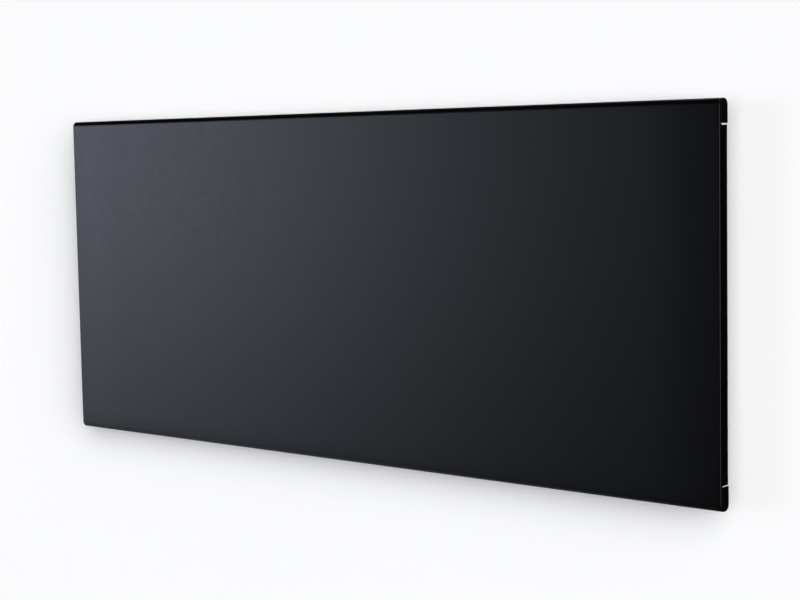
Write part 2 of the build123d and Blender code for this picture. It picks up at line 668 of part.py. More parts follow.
def terminal_box():
    """The open box: walls, four screw bosses, and holes for grommet, screws, stud and gland."""
    box = slab(box_outline(), COVER_BACK, BOX_BACK)
    box -= slab(box_outline(BOX_WALL), BLOCK_FRONT, BOX_BACK + 1)
    boss_back = BOX_BACK - LID_RIM - LID_PLAY
    for x, z in lid_screw_places():
        box += rod(BOSS_R, x, z, COVER_BACK + BOX_WALL / 2, boss_back)
        box -= rod(SCREW_R, x, z, LID_SEAT - LID_SCREW_LENGTH - POCKET_PLAY, BOX_BACK)
    box -= rod(GROMMET_R, BOX_X, GROMMET_Z, COVER_BACK - 1, BLOCK_FRONT + 1)
    box -= rod(EARTH_R + HOLE_PLAY, EARTH_X, EARTH_Z, COVER_BACK - 1, BLOCK_FRONT + 1)
    for x, z in box_screw_places():
        box -= rod(SCREW_R + HOLE_PLAY, x, z, COVER_BACK - 1, BLOCK_FRONT + 1)
    gland_hole = Pos(BOX_X, y_at(GLAND_DEPTH), BOX_BOTTOM + BOX_WALL / 2)
    box -= gland_hole * Cylinder(GLAND_R + HOLE_PLAY, 3 * BOX_WALL)
    return box


def box_lid():
    """The lid, with a rim that reaches into the box and a groove for the seal."""
    lid = slab(box_outline(), BOX_BACK, BOX_BACK + LID_THICK)
    lid = fillet(lid.faces().sort_by(Axis.Y)[-1].edges(), LID_ROUND)
    rim = box_outline(BOX_WALL + LID_PLAY) - box_outline(BOX_WALL + LID_PLAY + LID_RIM_WALL)
    lid += slab(rim, BOX_BACK - LID_RIM, BOX_BACK)
    seal_line = BOX_WALL / 2
    groove = box_outline(seal_line - SEAL_R / 2) - box_outline(seal_line + SEAL_R / 2)
    lid -= slab(groove, BOX_BACK, BOX_BACK + SEAL_R)
    for x, z in lid_screw_places():
        lid -= rod(SCREW_R + HOLE_PLAY, x, z, BOX_BACK - LID_RIM, BOX_BACK + LID_THICK)
        lid -= rod(SCREW_HEAD_R + HEAD_PLAY, x, z, LID_SEAT, BOX_BACK + LID_THICK + 1)
        lid -= rod(BOSS_R + LID_PLAY, x, z, BOX_BACK - LID_RIM - 1, BOX_BACK)
    return lid


def lid_seal():
    """Silicone cord in the groove of the lid."""
    seal_line = BOX_WALL / 2
    half = SEAL_R / 2 - THREAD_GAP
    ring = box_outline(seal_line - half) - box_outline(seal_line + half)
    return slab(ring, BOX_BACK, BOX_BACK + SEAL_R - THREAD_GAP)


def lid_screws():
    """Four screws in the corners of the lid."""
    return [pan_screw(x, z, LID_SEAT, LID_SCREW_LENGTH) for x, z in lid_screw_places()]


def box_screws():
    """Screws through the floor of the box into the back cover."""
    length = BOX_WALL + COVER_SHEET + SCREW_BITE
    return [pan_screw(x, z, BLOCK_FRONT, length) for x, z in box_screw_places()]


def pole_places():
    """X of each pole of the terminal block."""
    first = BOX_X - (BLOCK_POLES - 1) * POLE_PITCH / 2
    return [first + i * POLE_PITCH for i in range(BLOCK_POLES)]


def terminal_block():
    """A ceramic block with one passage and two screw wells for each pole."""
    back = BLOCK_FRONT + BLOCK_DEPTH
    left, right = BOX_X - BLOCK_WIDTH / 2, BOX_X + BLOCK_WIDTH / 2
    bottom, top = BLOCK_Z - BLOCK_HEIGHT / 2, BLOCK_Z + BLOCK_HEIGHT / 2
    body = block(left, right, BLOCK_FRONT, back, bottom, top)
    body = fillet(body.edges().filter_by(Axis.Y), BLOCK_ROUND)
    for x in pole_places():
        passage = Pos(x, y_at(BLOCK_FRONT + BLOCK_DEPTH / 2), BLOCK_Z) * Cylinder(PASSAGE_R, BLOCK_HEIGHT + 2)
        body -= passage
        for z in clamp_heights():
            body -= rod(CLAMP_SCREW_R + HOLE_PLAY, x, z, BLOCK_FRONT + BLOCK_DEPTH / 2, back + 1)
    return body


def clamp_heights():
    """Heights of the two clamp screws of a pole."""
    return (BLOCK_Z - BLOCK_HEIGHT / 4, BLOCK_Z + BLOCK_HEIGHT / 4)


def clamp_screws():
    """Slotted screws that clamp the wires in the terminal block."""
    screws = []
    front = BLOCK_FRONT + BLOCK_DEPTH / 2 + LEAD_R + THREAD_GAP
    back = BLOCK_FRONT + BLOCK_DEPTH - CLAMP_SCREW_SINK
    half = CLAMP_SLOT / 2
    reach = CLAMP_SCREW_R
    for x in pole_places():
        for z in clamp_heights():
            screw = rod(CLAMP_SCREW_R, x, z, front, back)
            screw -= block(x - half, x + half, back - CLAMP_SLOT_DEPTH, back + 1, z - reach, z + reach)
            screws.append(screw)
    return screws


def grommet():
    """Rubber grommet that guards the leads where they pass the cover and the box floor."""
    lip_front = COVER_INSIDE - GROMMET_LIP
    lip_back = BLOCK_FRONT + GROMMET_LIP
    body = rod(GROMMET_R - THREAD_GAP, BOX_X, GROMMET_Z, COVER_INSIDE, BLOCK_FRONT)
    body += rod(GROMMET_FLANGE_R, BOX_X, GROMMET_Z, lip_front, COVER_INSIDE)
    body += rod(GROMMET_FLANGE_R, BOX_X, GROMMET_Z, BLOCK_FRONT, lip_back)
    return body - rod(GROMMET_BORE_R, BOX_X, GROMMET_Z, lip_front, lip_back)


def earth_stud():
    """Earthing stud welded to the back cover."""
    return rod(EARTH_R, EARTH_X, EARTH_Z, COVER_BACK, COVER_BACK + EARTH_LENGTH)


def earth_nuts():
    """A nut under and a nut over the earth tag."""
    tag_front = BLOCK_FRONT + NUT_THICK
    fronts = (BLOCK_FRONT, tag_front + BLADE_SHEET)
    bore_r = EARTH_R + THREAD_GAP
    return [hexagon_ring(EARTH_X, EARTH_Z, bore_r, front, front + NUT_THICK) for front in fronts]


def earth_tag():
    """Ring tag between the two nuts, with a crimped barrel for the earth lead."""
    front = BLOCK_FRONT + NUT_THICK
    ring = Pos(EARTH_X, EARTH_Z) * Circle(NUT_ACROSS / 2)
    neck_end = NUT_ACROSS / 2 + TAG_NECK
    neck = Pos(EARTH_X, EARTH_Z + neck_end / 2) * Rectangle(TAG_NECK_WIDTH, neck_end)
    shape = ring + neck - Pos(EARTH_X, EARTH_Z) * Circle(EARTH_R + THREAD_GAP)
    return slab(shape, front, front + BLADE_SHEET)


# ---- Cable gland -------------------------------------------------------------------------------------------

def upright(radius, bottom, top):
    """A round body on the axis of the gland."""
    return Pos(BOX_X, y_at(GLAND_DEPTH), bottom) * Cylinder(
        radius, top - bottom, align=(Align.CENTER, Align.CENTER, Align.MIN)
    )


def upright_hexagon(across, bottom, top):
    """A hexagonal body on the axis of the gland."""
    plane = Plane(origin=(BOX_X, y_at(GLAND_DEPTH), bottom))
    return extrude(plane * RegularPolygon(across / 2, 6, major_radius=False), top - bottom)


GLAND_SHOULDER = BOX_BOTTOM - GLAND_FLANGE
GLAND_TIP = GLAND_SHOULDER - GLAND_NUT
SEAL_BOTTOM = GLAND_TIP + SEAL_LIP
GLAND_INSIDE = BOX_BOTTOM + BOX_WALL + LOCK_NUT + SEAL_STAND


def gland_body():
    """Threaded body: shank through the box wall, hexagon, and a socket for the seal."""
    body = upright(GLAND_R, BOX_BOTTOM, GLAND_INSIDE)
    body += upright_hexagon(GLAND_ACROSS, GLAND_SHOULDER, BOX_BOTTOM)
    body += upright(GLAND_R, SEAL_BOTTOM + SEAL_STAND, GLAND_SHOULDER)
    body -= upright(GLAND_BORE_R, SEAL_BOTTOM, GLAND_INSIDE + 1)
    return body - upright(SEAL_OUTER_R + THREAD_GAP, SEAL_BOTTOM, SEAL_BOTTOM + SEAL_LENGTH)


def gland_seal():
    """Rubber ring that grips the cable."""
    ring = upright(SEAL_OUTER_R, SEAL_BOTTOM, SEAL_BOTTOM + SEAL_LENGTH)
    return ring - upright(SEAL_BORE_R, SEAL_BOTTOM - 1, SEAL_BOTTOM + SEAL_LENGTH + 1)


def gland_nut():
    """Domed cap nut of the gland."""
    top = GLAND_SHOULDER - NUT_GAP
    nut = upright_hexagon(GLAND_ACROSS, GLAND_TIP + NUT_DOME, top)
    dome = upright(GLAND_ACROSS / 2, GLAND_TIP, GLAND_TIP + NUT_DOME)
    dome = fillet(dome.edges().filter_by(GeomType.CIRCLE).sort_by(Axis.Z)[0], NUT_DOME_R)
    nut += dome
    nut -= upright(GLAND_BORE_R, GLAND_TIP - 1, top + 1)
    return nut - upright(GLAND_R + THREAD_GAP, SEAL_BOTTOM, top + 1)


def gland_lock_nut():
    """Lock nut inside the box."""
    bottom = BOX_BOTTOM + BOX_WALL
    nut = upright_hexagon(GLAND_ACROSS, bottom, bottom + LOCK_NUT)
    return nut - upright(GLAND_R + THREAD_GAP, bottom - 1, bottom + LOCK_NUT + 1)


# ---- Thermal cut-outs and leads ----------------------------------------------------------------------------

def thermal_cutouts():
    """Two bimetal discs against the reflector, each with a blade below and above."""
    found = []
    for z in CUTOUT_PLACES:
        body = rod(CUTOUT_R, LEAD_X, z, BOARD_FRONT, BOARD_FRONT + CUTOUT_THICK)
        body = fillet(body.edges().filter_by(GeomType.CIRCLE).sort_by(Axis.Y)[-1], CUTOUT_ROUND)
        left, right = LEAD_X - BLADE_WIDTH / 2, LEAD_X + BLADE_WIDTH / 2
        blade_back = BOARD_FRONT + CUTOUT_THICK + BLADE_SHEET
        body += block(left, right, blade_back - BLADE_SHEET, blade_back, z - BLADE_REACH, z + BLADE_REACH)
        found.append(body)
    return found


def lead_tube(points):
    """An insulated lead: straight runs joined by arcs as wide as the runs and grooves allow."""
    stops = [Vector(x, y_at(depth), z) for x, depth, z in points]
    radii = []
    for before, here, after in zip(stops, stops[1:], stops[2:]):
        turn = radians((here - before).get_angle(after - here))
        shorter = min((here - before).length, (after - here).length)
        radii.append(min(0.45 * shorter / tan(turn / 2), LEAD_BEND))
        print(f"lead bend {radii[-1]:.1f} mm at a turn of {degrees(turn):.0f} degrees")
    path = FilletPolyline(*stops, radius=radii) if radii else Line(*stops)
    start = Plane(origin=path @ 0, z_dir=path % 0)
    return sweep(start * Circle(LEAD_R), path=path)


def live_leads():
    """Three stretches: block to first cut-out, cut-out to cut-out, second cut-out to the tag."""
    depth_in = BLOCK_FRONT + BLOCK_DEPTH / 2
    top = BLOCK_Z + BLOCK_HEIGHT / 4
    high = GROMMET_Z + LEAD_SPREAD
    first, second = CUTOUT_PLACES
    reach = BLADE_REACH + THREAD_GAP
    pole = pole_places()[0]
    tag_x, tag_z = tag_places()[1]
    return [
        lead_tube([
            (pole, depth_in, top),
            (pole, depth_in, top + LEAD_RISE),
            (BOX_X, depth_in, high),
            (BOX_X, LEAD_DEPTH, high),
            (LEAD_X, LEAD_DEPTH, high),
            (LEAD_X, LEAD_DEPTH, first - reach),
        ]),
        lead_tube([(LEAD_X, LEAD_DEPTH, first + reach), (LEAD_X, LEAD_DEPTH, second - reach)]),
        lead_tube([
            (LEAD_X, LEAD_DEPTH, second + reach),
            (tag_x, LEAD_DEPTH, tag_z),
            (tag_x, REAR_MICA + TAG_SHEET, tag_z),
        ]),
    ]


def neutral_lead():
    """From the middle pole to the lower tag of the track."""
    depth_in = BLOCK_FRONT + BLOCK_DEPTH / 2
    top = BLOCK_Z + BLOCK_HEIGHT / 4
    low = GROMMET_Z - LEAD_SPREAD
    tag_x, tag_z = tag_places()[0]
    return lead_tube([
        (BOX_X, depth_in, top),
        (BOX_X, depth_in, low),
        (BOX_X, LEAD_DEPTH, low),
        (tag_x, LEAD_DEPTH, low),
        (tag_x, LEAD_DEPTH, tag_z),
        (tag_x, REAR_MICA + TAG_SHEET, tag_z),
    ])


def earth_lead():
    """From the last pole to the ring tag on the earthing stud."""
    depth_in = BLOCK_FRONT + BLOCK_DEPTH / 2
    pole = pole_places()[-1]
    top = BLOCK_Z + BLOCK_HEIGHT / 4
    tag_depth = BLOCK_FRONT + NUT_THICK + BLADE_SHEET / 2
    tag_top = EARTH_Z + NUT_ACROSS / 2 + TAG_NECK
    return lead_tube([
        (pole, depth_in, top),
        (pole, depth_in, tag_top + EARTH_LOOP),
        (EARTH_X, tag_depth, tag_top + EARTH_LOOP),
        (EARTH_X, tag_depth, tag_top + THREAD_GAP),
    ])


# ---- Write every sub-part ----------------------------------------------------------------------------------

def group(solids):
    """Identical pieces that share one node."""
    return Compound(children=solids)


NODES = {
    "front_tray": front_tray,
    "corner_cap_top_left": lambda: corner_cap(-1, 1),
    "corner_cap_top_right": lambda: corner_cap(1, 1),
    "corner_cap_bottom_left": lambda: corner_cap(-1, -1),
    "corner_cap_bottom_right": lambda: corner_cap(1, -1),
    "cap_screws": lambda: group(cap_screws()),
    "front_mica_sheet": lambda: mica(FRONT_MICA, False),
    "heating_track": heating_track,
    "track_tags": lambda: group(track_tags()),
    "rear_mica_sheet": lambda: mica(REAR_MICA, True),
    "reflector_foil": reflector,
    "insulation_board": insulation_board,
    "back_cover": back_cover,
    "weld_studs": lambda: group(weld_studs()),
    "stud_washers": lambda: group(washers()),
    "stud_nuts": lambda: group(flange_nuts()),
    "hanging_rail_left": lambda: hanging_rail(-1),
    "hanging_rail_right": lambda: hanging_rail(1),
    "rail_rivets": lambda: group(rail_rivets()),
    "terminal_box": terminal_box,
    "box_lid": box_lid,
    "lid_seal": lid_seal,
    "lid_screws": lambda: group(lid_screws()),
    "box_screws": lambda: group(box_screws()),
    "terminal_block": terminal_block,
    "clamp_screws": lambda: group(clamp_screws()),
    "lead_grommet": grommet,
    "earth_stud": earth_stud,
    "earth_nuts": lambda: group(earth_nuts()),
    "earth_tag": earth_tag,
    "gland_body": gland_body,
    "gland_seal": gland_seal,
    "gland_nut": gland_nut,
    "gland_lock_nut": gland_lock_nut,
    "thermal_cutouts": lambda: group(thermal_cutouts()),
    "live_leads": lambda: group(live_leads()),
    "neutral_lead": neutral_lead,
    "earth_lead": earth_lead,
    "wall_bracket": wall_bracket,
    "wall_bumpers": lambda: group(bumpers()),
}

os.makedirs("parts", exist_ok=True)
for node, make in NODES.items():
    export_step(make(), f"parts/{node}.step")
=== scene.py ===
"""Infrared panel heater on its wall bracket: finishes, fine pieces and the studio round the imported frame."""

import logging
from dataclasses import dataclass
from enum import Enum
from functools import reduce
from math import cos, floor, pi, radians, sin, tau
from typing import Callable

import bmesh
import bpy
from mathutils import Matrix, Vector


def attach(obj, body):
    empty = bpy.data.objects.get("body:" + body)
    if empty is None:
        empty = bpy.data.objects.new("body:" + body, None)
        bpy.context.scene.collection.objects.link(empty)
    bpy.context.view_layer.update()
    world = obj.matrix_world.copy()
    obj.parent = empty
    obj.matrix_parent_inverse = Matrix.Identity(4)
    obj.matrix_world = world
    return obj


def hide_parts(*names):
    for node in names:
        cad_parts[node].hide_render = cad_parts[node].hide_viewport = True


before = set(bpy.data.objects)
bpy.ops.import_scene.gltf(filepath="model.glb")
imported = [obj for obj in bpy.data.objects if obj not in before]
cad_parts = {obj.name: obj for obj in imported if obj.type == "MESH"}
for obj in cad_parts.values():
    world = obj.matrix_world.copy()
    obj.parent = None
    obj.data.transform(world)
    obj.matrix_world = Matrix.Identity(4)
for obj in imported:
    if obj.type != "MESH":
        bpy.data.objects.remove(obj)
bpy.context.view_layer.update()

log = logging.getLogger("panel_heater")

MM = 0.001
HEATER = "heater"
SMOOTH_UNDER = 35.0  # degrees; edges that turn more stay sharp

Colour = tuple[float, float, float]
Point = tuple[float, float, float]
Span = tuple[float, float]
Ring = Callable[[float], float]
Rows = list[tuple[float | Ring, float | Ring]]
BMesh = bmesh.types.BMesh
Material = bpy.types.Material
Mesh = bpy.types.Mesh
Node = bpy.types.Node
NodeTree = bpy.types.NodeTree
Object = bpy.types.Object
Socket = bpy.types.NodeSocket


def mm(x: float, y: float, z: float) -> Vector:
    """A point given in millimetres, in metres."""
    return Vector((x * MM, y * MM, z * MM))


def add_object(name: str, data: bpy.types.ID) -> Object:
    """Adds an object to the scene.

    Args:
        name: the object's name.
        data: its mesh, lamp or camera.

    Returns:
        The object.
    """
    made = bpy.data.objects.new(name, data)
    bpy.context.scene.collection.objects.link(made)
    return made


# ---- Shader nodes ------------------------------------------------------------


class Net:
    """Adds and joins the nodes of one tree."""

    def __init__(self, tree: NodeTree) -> None:
        """Takes the tree of a material, group or world."""
        self.tree = tree

    def add(self, kind: str, inputs: dict | None = None, **settings: object) -> Node:
        """Adds a node.

        Args:
            kind: the node's Blender type.
            inputs: socket name or number to a socket to join or a value to set.
            **settings: the node's own properties.

        Returns:
            The new node.
        """
        node = self.tree.nodes.new(kind)
        for key, value in settings.items():
            setattr(node, key, value)
        for key, value in (inputs or {}).items():
            socket = node.inputs[key]
            if isinstance(value, Socket):
                self.tree.links.new(value, socket)
            else:
                socket.default_value = value
        return node

    def math(self, operation: str, a: object, b: object = 0.0, clamp: bool = False) -> Socket:
        """One sum.

        Args:
            operation: the Math node's operation.
            a: first socket or number.
            b: second socket or number.
            clamp: keep the result between 0 and 1.

        Returns:
            The result's socket.
        """
        node = self.add("ShaderNodeMath", {0: a, 1: b}, operation=operation, use_clamp=clamp)
        return node.outputs[0]

    def product(self, *factors: object) -> Socket:
        """All the factors multiplied."""
        return reduce(lambda a, b: self.math("MULTIPLY", a, b), factors)

    def split(self, vector: Socket) -> list[Socket]:
        """The three parts of a vector."""
        return list(self.add("ShaderNodeSeparateXYZ", {0: vector}).outputs)

    def normal(self) -> list[Socket]:
        """The three parts of the surface's normal."""
        return self.split(self.add("ShaderNodeNewGeometry").outputs["Normal"])

    def place(self) -> Socket:
        """The object's own coordinates."""
        return self.add("ShaderNodeTexCoord").outputs["Object"]

    def spread(self, value: object, source: Span, target: Span = (0.0, 1.0)) -> Socket:
        """Maps one span of values to another, held at its ends.

        Args:
            value: the socket to map.
            source: the span that comes in.
            target: the span that goes out.

        Returns:
            The result's socket.
        """
        node = self.add("ShaderNodeMapRange", {
            "Value": value, "From Min": source[0], "From Max": source[1],
            "To Min": target[0], "To Max": target[1],
        })
        return node.outputs["Result"]

    def blend(self, share: object, a: object, b: object) -> Socket:
        """Mixes two colours.

        Args:
            share: 0 for all of a, 1 for all of b.
            a: first colour or socket.
            b: second colour or socket.

        Returns:
            The mixed colour's socket.
        """
        values = {0: share, 6: a, 7: b}
        for key in (6, 7):
            if isinstance(values[key], tuple):
                values[key] = (*values[key], 1.0)
        return self.add("ShaderNodeMix", values, data_type="RGBA").outputs[2]

    def noise(self, place: object, size: float, detail: float = 2.0, rough: float = 0.5) -> Socket:
        """A noise whose blots are about as large as a size.

        Args:
            place: the coordinates' socket.
            size: width of a blot, in metres.
            detail: octaves.
            rough: weight of the finer octaves.

        Returns:
            The noise value's socket.
        """
        return self.add("ShaderNodeTexNoise", {
            "Vector": place, "Scale": 1.0 / size, "Detail": detail, "Roughness": rough,
        }).outputs[0]

    def sized_noise(self, place: object, scale: Socket, detail: float, times: float = 1.0) -> Socket:
        """A noise whose scale comes from a socket.

        Args:
            place: the coordinates' socket.
            scale: blots in a metre.
            detail: octaves.
            times: factor on the scale.

        Returns:
            The noise value's socket.
        """
        if times != 1.0:
            scale = self.math("MULTIPLY", scale, times)
        return self.add("ShaderNodeTexNoise", {"Vector": place, "Scale": scale, "Detail": detail}).outputs[0]

    def cells(self, place: object, scale: Socket, feature: str = "F1", **inputs: object) -> Node:
        """Voronoi cells whose scale comes from a socket.

        Args:
            place: the coordinates' socket.
            scale: cells in a metre.
            feature: what the node measures.
            **inputs: its other inputs.

        Returns:
            The node.
        """
        return self.add("ShaderNodeTexVoronoi", {"Vector": place, "Scale": scale, **inputs}, feature=feature)

    def mixed(self, a: Socket, share_a: float, b: Socket, share_b: float) -> Socket:
        """Two values added, each with its share."""
        return self.math("ADD", self.math("MULTIPLY", a, share_a), self.math("MULTIPLY", b, share_b))

    def use(self, group: NodeTree, **inputs: object) -> Node:
        """Places a shared group and sets or joins its inputs."""
        return self.add("ShaderNodeGroup", inputs, node_tree=group)


def blank_material(name: str) -> tuple[Material, Net]:
    """Makes a material with no nodes.

    Args:
        name: the material's name.

    Returns:
        The material, and the net of its tree.
    """
    made = bpy.data.materials.new(name)
    made.use_nodes = True
    made.node_tree.nodes.clear()
    return made, Net(made.node_tree)


Sockets = dict[str, Socket]


class Inside(Net):
    """The inside of a shared group, whose inputs are coordinates and one amount, such as cells in a metre."""

    GRAIN_DRIFT, PEEL_DRIFT, FLAKE_CLOUDS, LINE_CLOUDS = 0.03, 0.05, 0.2, 0.05
    WOBBLES, WOBBLE_REACH, FROST = 1.3, 0.45, 5.0
    BORDER, BORDER_TONE = (0.0, 0.05), (-0.04, 0.0)
    DRAWN_OUT = (0.02, 1.0, 1.0)
    DUSTY_SLOPE, SPECK, WIPED = (0.35, 1.0), 4 * MM, 60 * MM
    SCRATCH_TURNS, SCRATCHED_OUT = (25.0, -40.0), (0.06, 1.0, 1.0)
    SCRATCH, SCRATCH_WIDTH, HANDLED = 6 * MM, (0.0, 0.006), 45 * MM

    def __init__(self, tree: NodeTree, vector: Socket, amount: Socket) -> None:
        """Takes the group's tree and its two inputs."""
        super().__init__(tree)
        self.vector, self.amount = vector, amount

    def grain(self) -> Sockets:
        """Fine even grain of a coating or a moulding, with slow drift under it.

        Returns:
            The mask and the height.
        """
        fine = self.sized_noise(self.vector, self.amount, detail=4.0)
        slow = self.sized_noise(self.vector, self.amount, detail=2.0, times=self.GRAIN_DRIFT)
        return {"Mask": self.mixed(fine, 0.6, slow, 0.4), "Height": fine}

    def peel(self) -> Sockets:
        """Orange peel of a baked powder coating: rounded cells that run into each other.

        Returns:
            The mask and the height.
        """
        cells = self.cells(self.vector, self.amount, "SMOOTH_F1", Smoothness=0.8)
        slow = self.sized_noise(self.vector, self.amount, detail=2.0, times=self.PEEL_DRIFT)
        return {"Mask": slow, "Height": cells.outputs["Distance"]}

    def spangle(self) -> Sockets:
        """Crystals of hot-dip zinc: each cell has its own tone, a frosty inside and a fine border.

        Returns:
            The mask and the height.
        """
        wobble = self.add("ShaderNodeTexNoise", {
            "Vector": self.vector, "Scale": self.product(self.amount, self.WOBBLES),
        })
        reach = self.math("DIVIDE", self.WOBBLE_REACH, self.amount)
        bent = self.add("ShaderNodeVectorMath", {0: wobble.outputs["Color"], "Scale": reach}, operation="SCALE")
        moved = self.add("ShaderNodeVectorMath", {0: self.vector, 1: bent.outputs[0]}, operation="ADD").outputs[0]
        cells = self.cells(moved, self.amount)
        edge = self.cells(moved, self.amount, "DISTANCE_TO_EDGE")
        tone = self.add("ShaderNodeSeparateColor", {0: cells.outputs["Color"]}).outputs[0]
        frost = self.sized_noise(moved, self.amount, detail=5.0, times=self.FROST)
        border = self.spread(edge.outputs["Distance"], self.BORDER, self.BORDER_TONE)
        return {"Mask": self.math("ADD", self.mixed(tone, 0.5, frost, 0.5), border), "Height": frost}

    def flakes(self) -> Sockets:
        """Pressed flakes of mica, each at its own depth.

        Returns:
            The mask and the height.
        """
        cells = self.cells(self.vector, self.amount)
        tone = self.add("ShaderNodeSeparateColor", {0: cells.outputs["Color"]}).outputs[1]
        clouds = self.sized_noise(self.vector, self.amount, detail=4.0, times=self.FLAKE_CLOUDS)
        return {"Mask": self.product(tone, clouds), "Height": tone}

    def brushed(self) -> Sockets:
        """Fine lines along X, as on rolled or brushed metal.

        Returns:
            The mask and the height.
        """
        drawn = self.add("ShaderNodeMapping", {"Vector": self.vector, "Scale": self.DRAWN_OUT}).outputs[0]
        lines = self.sized_noise(drawn, self.amount, detail=3.0)
        clouds = self.sized_noise(self.vector, self.amount, detail=2.0, times=self.LINE_CLOUDS)
        return {"Mask": self.product(lines, clouds), "Height": lines}

    def settled_dust(self) -> Sockets:
        """Dust on what faces up, thinner where it was wiped.

        Returns:
            The mask.
        """
        level = self.spread(self.normal()[2], self.DUSTY_SLOPE)
        specks = self.noise(self.vector, self.SPECK, detail=5.0, rough=0.7)
        patches = self.spread(self.noise(self.vector, self.WIPED), (0.35, 0.65), (0.3, 1.0))
        return {"Mask": self.math("MULTIPLY", self.product(level, specks, patches), self.amount, clamp=True)}

    def scratches(self) -> Sockets:
        """Hair scratches from handling: thin cracks of two stretched noises that cross.

        Returns:
            The mask.
        """
        total: object = 0.0
        for turn in self.SCRATCH_TURNS:
            laid = self.add("ShaderNodeMapping", {
                "Vector": self.vector, "Rotation": (0.0, radians(turn), 0.0), "Scale": self.SCRATCHED_OUT,
            }).outputs[0]
            line = self.noise(laid, self.SCRATCH, detail=4.0, rough=0.6)
            near = self.math("ABSOLUTE", self.math("SUBTRACT", line, 0.5))
            total = self.math("ADD", total, self.spread(near, self.SCRATCH_WIDTH, (1.0, 0.0)))
        patches = self.spread(self.noise(self.vector, self.HANDLED), (0.5, 0.65))
        return {"Mask": self.math("MULTIPLY", self.product(total, patches), self.amount, clamp=True)}


def shared_group(name: str, amount: str, outputs: tuple[str, ...], wire: Callable[[Inside], Sockets]) -> NodeTree:
    """Makes a shader group with named sockets, or returns the one already made.

    Args:
        name: the group's name.
        amount: name of its second input; the first is Vector.
        outputs: names of its outputs.
        wire: builds the inside and returns output name to socket.

    Returns:
        The group.
    """
    if name in bpy.data.node_groups:
        return bpy.data.node_groups[name]
    group = bpy.data.node_groups.new(name, "ShaderNodeTree")
    group.interface.new_socket(name="Vector", in_out="INPUT", socket_type="NodeSocketVector")
    for label, side in ((amount, "INPUT"), *((label, "OUTPUT") for label in outputs)):
        group.interface.new_socket(name=label, in_out=side, socket_type="NodeSocketFloat")
    source = Net(group).add("NodeGroupInput").outputs
    inside = Inside(group, source["Vector"], source[amount])
    inside.add("NodeGroupOutput", wire(inside))
    return group


class Pattern(Enum):
    """How the surface of a finish varies."""

    GRAIN = "grain"
    PEEL = "orange_peel"
    SPANGLE = "zinc_spangle"
    FLAKES = "mica_flakes"
    BRUSHED = "brushed_lines"

    def group(self) -> NodeTree:
        """The shader group of this pattern.

        Returns:
            The group.
        """
        wires = {
            Pattern.GRAIN: Inside.grain, Pattern.PEEL: Inside.peel, Pattern.SPANGLE: Inside.spangle,
            Pattern.FLAKES: Inside.flakes, Pattern.BRUSHED: Inside.brushed,
        }
        return shared_group(self.value, "Scale", ("Mask", "Height"), wires[self])


# ---- Finishes ----------------------------------------------------------------


@dataclass
class Layers:
    """The colour and roughness of a material while one thing is laid over another."""

    net: Net
    place: Socket
    colour: Socket
    rough: Socket

    def lay(self, mask: Socket, tone: Colour, rougher: float) -> None:
        """Lays a tone over what is there.

        Args:
            mask: where it lies.
            tone: its colour.
            rougher: what it adds to the roughness.
        """
        self.colour = self.net.blend(mask, self.colour, tone)
        self.rough = self.net.math("ADD", self.rough, self.net.math("MULTIPLY", mask, rougher), clamp=True)


@dataclass(frozen=True)
class Finish:
    """One finish: its two tones, how rough it is, and the relief and marks of its surface."""

    name: str
    tone: Colour
    other: Colour
    rough: Span
    pattern: Pattern = Pattern.GRAIN
    size: float = 0.5
    depth: float = 0.01
    relief: float = 0.3
    metal: float = 0.0
    specular: float = 0.5
    coat: float = 0.0
    marks: float = 0.0
    dust: float = 0.1
    mask: Span = (0.35, 0.65)

    MARKS_LIGHTER, MARKS_LIFT, MARKS_ROUGHER = 1.35, 0.01, 0.12
    DUST_TONE = (0.36, 0.34, 0.31)
    DUST_ROUGHER = 0.5

    def material(self) -> Material:
        """The material of this finish, built once."""
        return bpy.data.materials.get(f"{self.name}_finish") or self.build()

    def build(self) -> Material:
        """Builds the material's nodes.

        Returns:
            The new material.
        """
        made, net = blank_material(f"{self.name}_finish")
        made.diffuse_color = (*self.tone, 1.0)
        place = net.place()
        pattern = net.use(self.pattern.group(), Vector=place, Scale=1.0 / (self.size * MM))
        share = net.spread(pattern.outputs["Mask"], self.mask)
        colour = net.blend(share, self.tone, self.other)
        layers = Layers(net, place, colour, net.spread(share, (0.0, 1.0), self.rough))
        self.wear(layers)
        bump = net.add("ShaderNodeBump", {
            "Strength": self.relief, "Distance": self.depth * MM, "Height": pattern.outputs["Height"],
        })
        shader = net.add("ShaderNodeBsdfPrincipled", {
            "Base Color": layers.colour, "Roughness": layers.rough, "Metallic": self.metal,
            "Specular IOR Level": self.specular, "Coat Weight": self.coat, "Normal": bump.outputs[0],
        })
        net.add("ShaderNodeOutputMaterial", {"Surface": shader.outputs[0]})
        return made

    def wear(self, layers: Layers) -> None:
        """Lays scratches and dust over the finish.

        Args:
            layers: the material so far.
        """
        lighter = tuple(min(1.0, self.MARKS_LIGHTER * c + self.MARKS_LIFT) for c in self.other)
        for name, wire, amount, tone, rougher in (
            ("hair_scratches", Inside.scratches, self.marks, lighter, self.MARKS_ROUGHER),
            ("dust", Inside.settled_dust, self.dust, self.DUST_TONE, self.DUST_ROUGHER),
        ):
            if amount:
                group = shared_group(name, "Amount", ("Mask",), wire)
                mask = layers.net.use(group, Vector=layers.place, Amount=amount).outputs["Mask"]
                layers.lay(mask, tone, rougher)


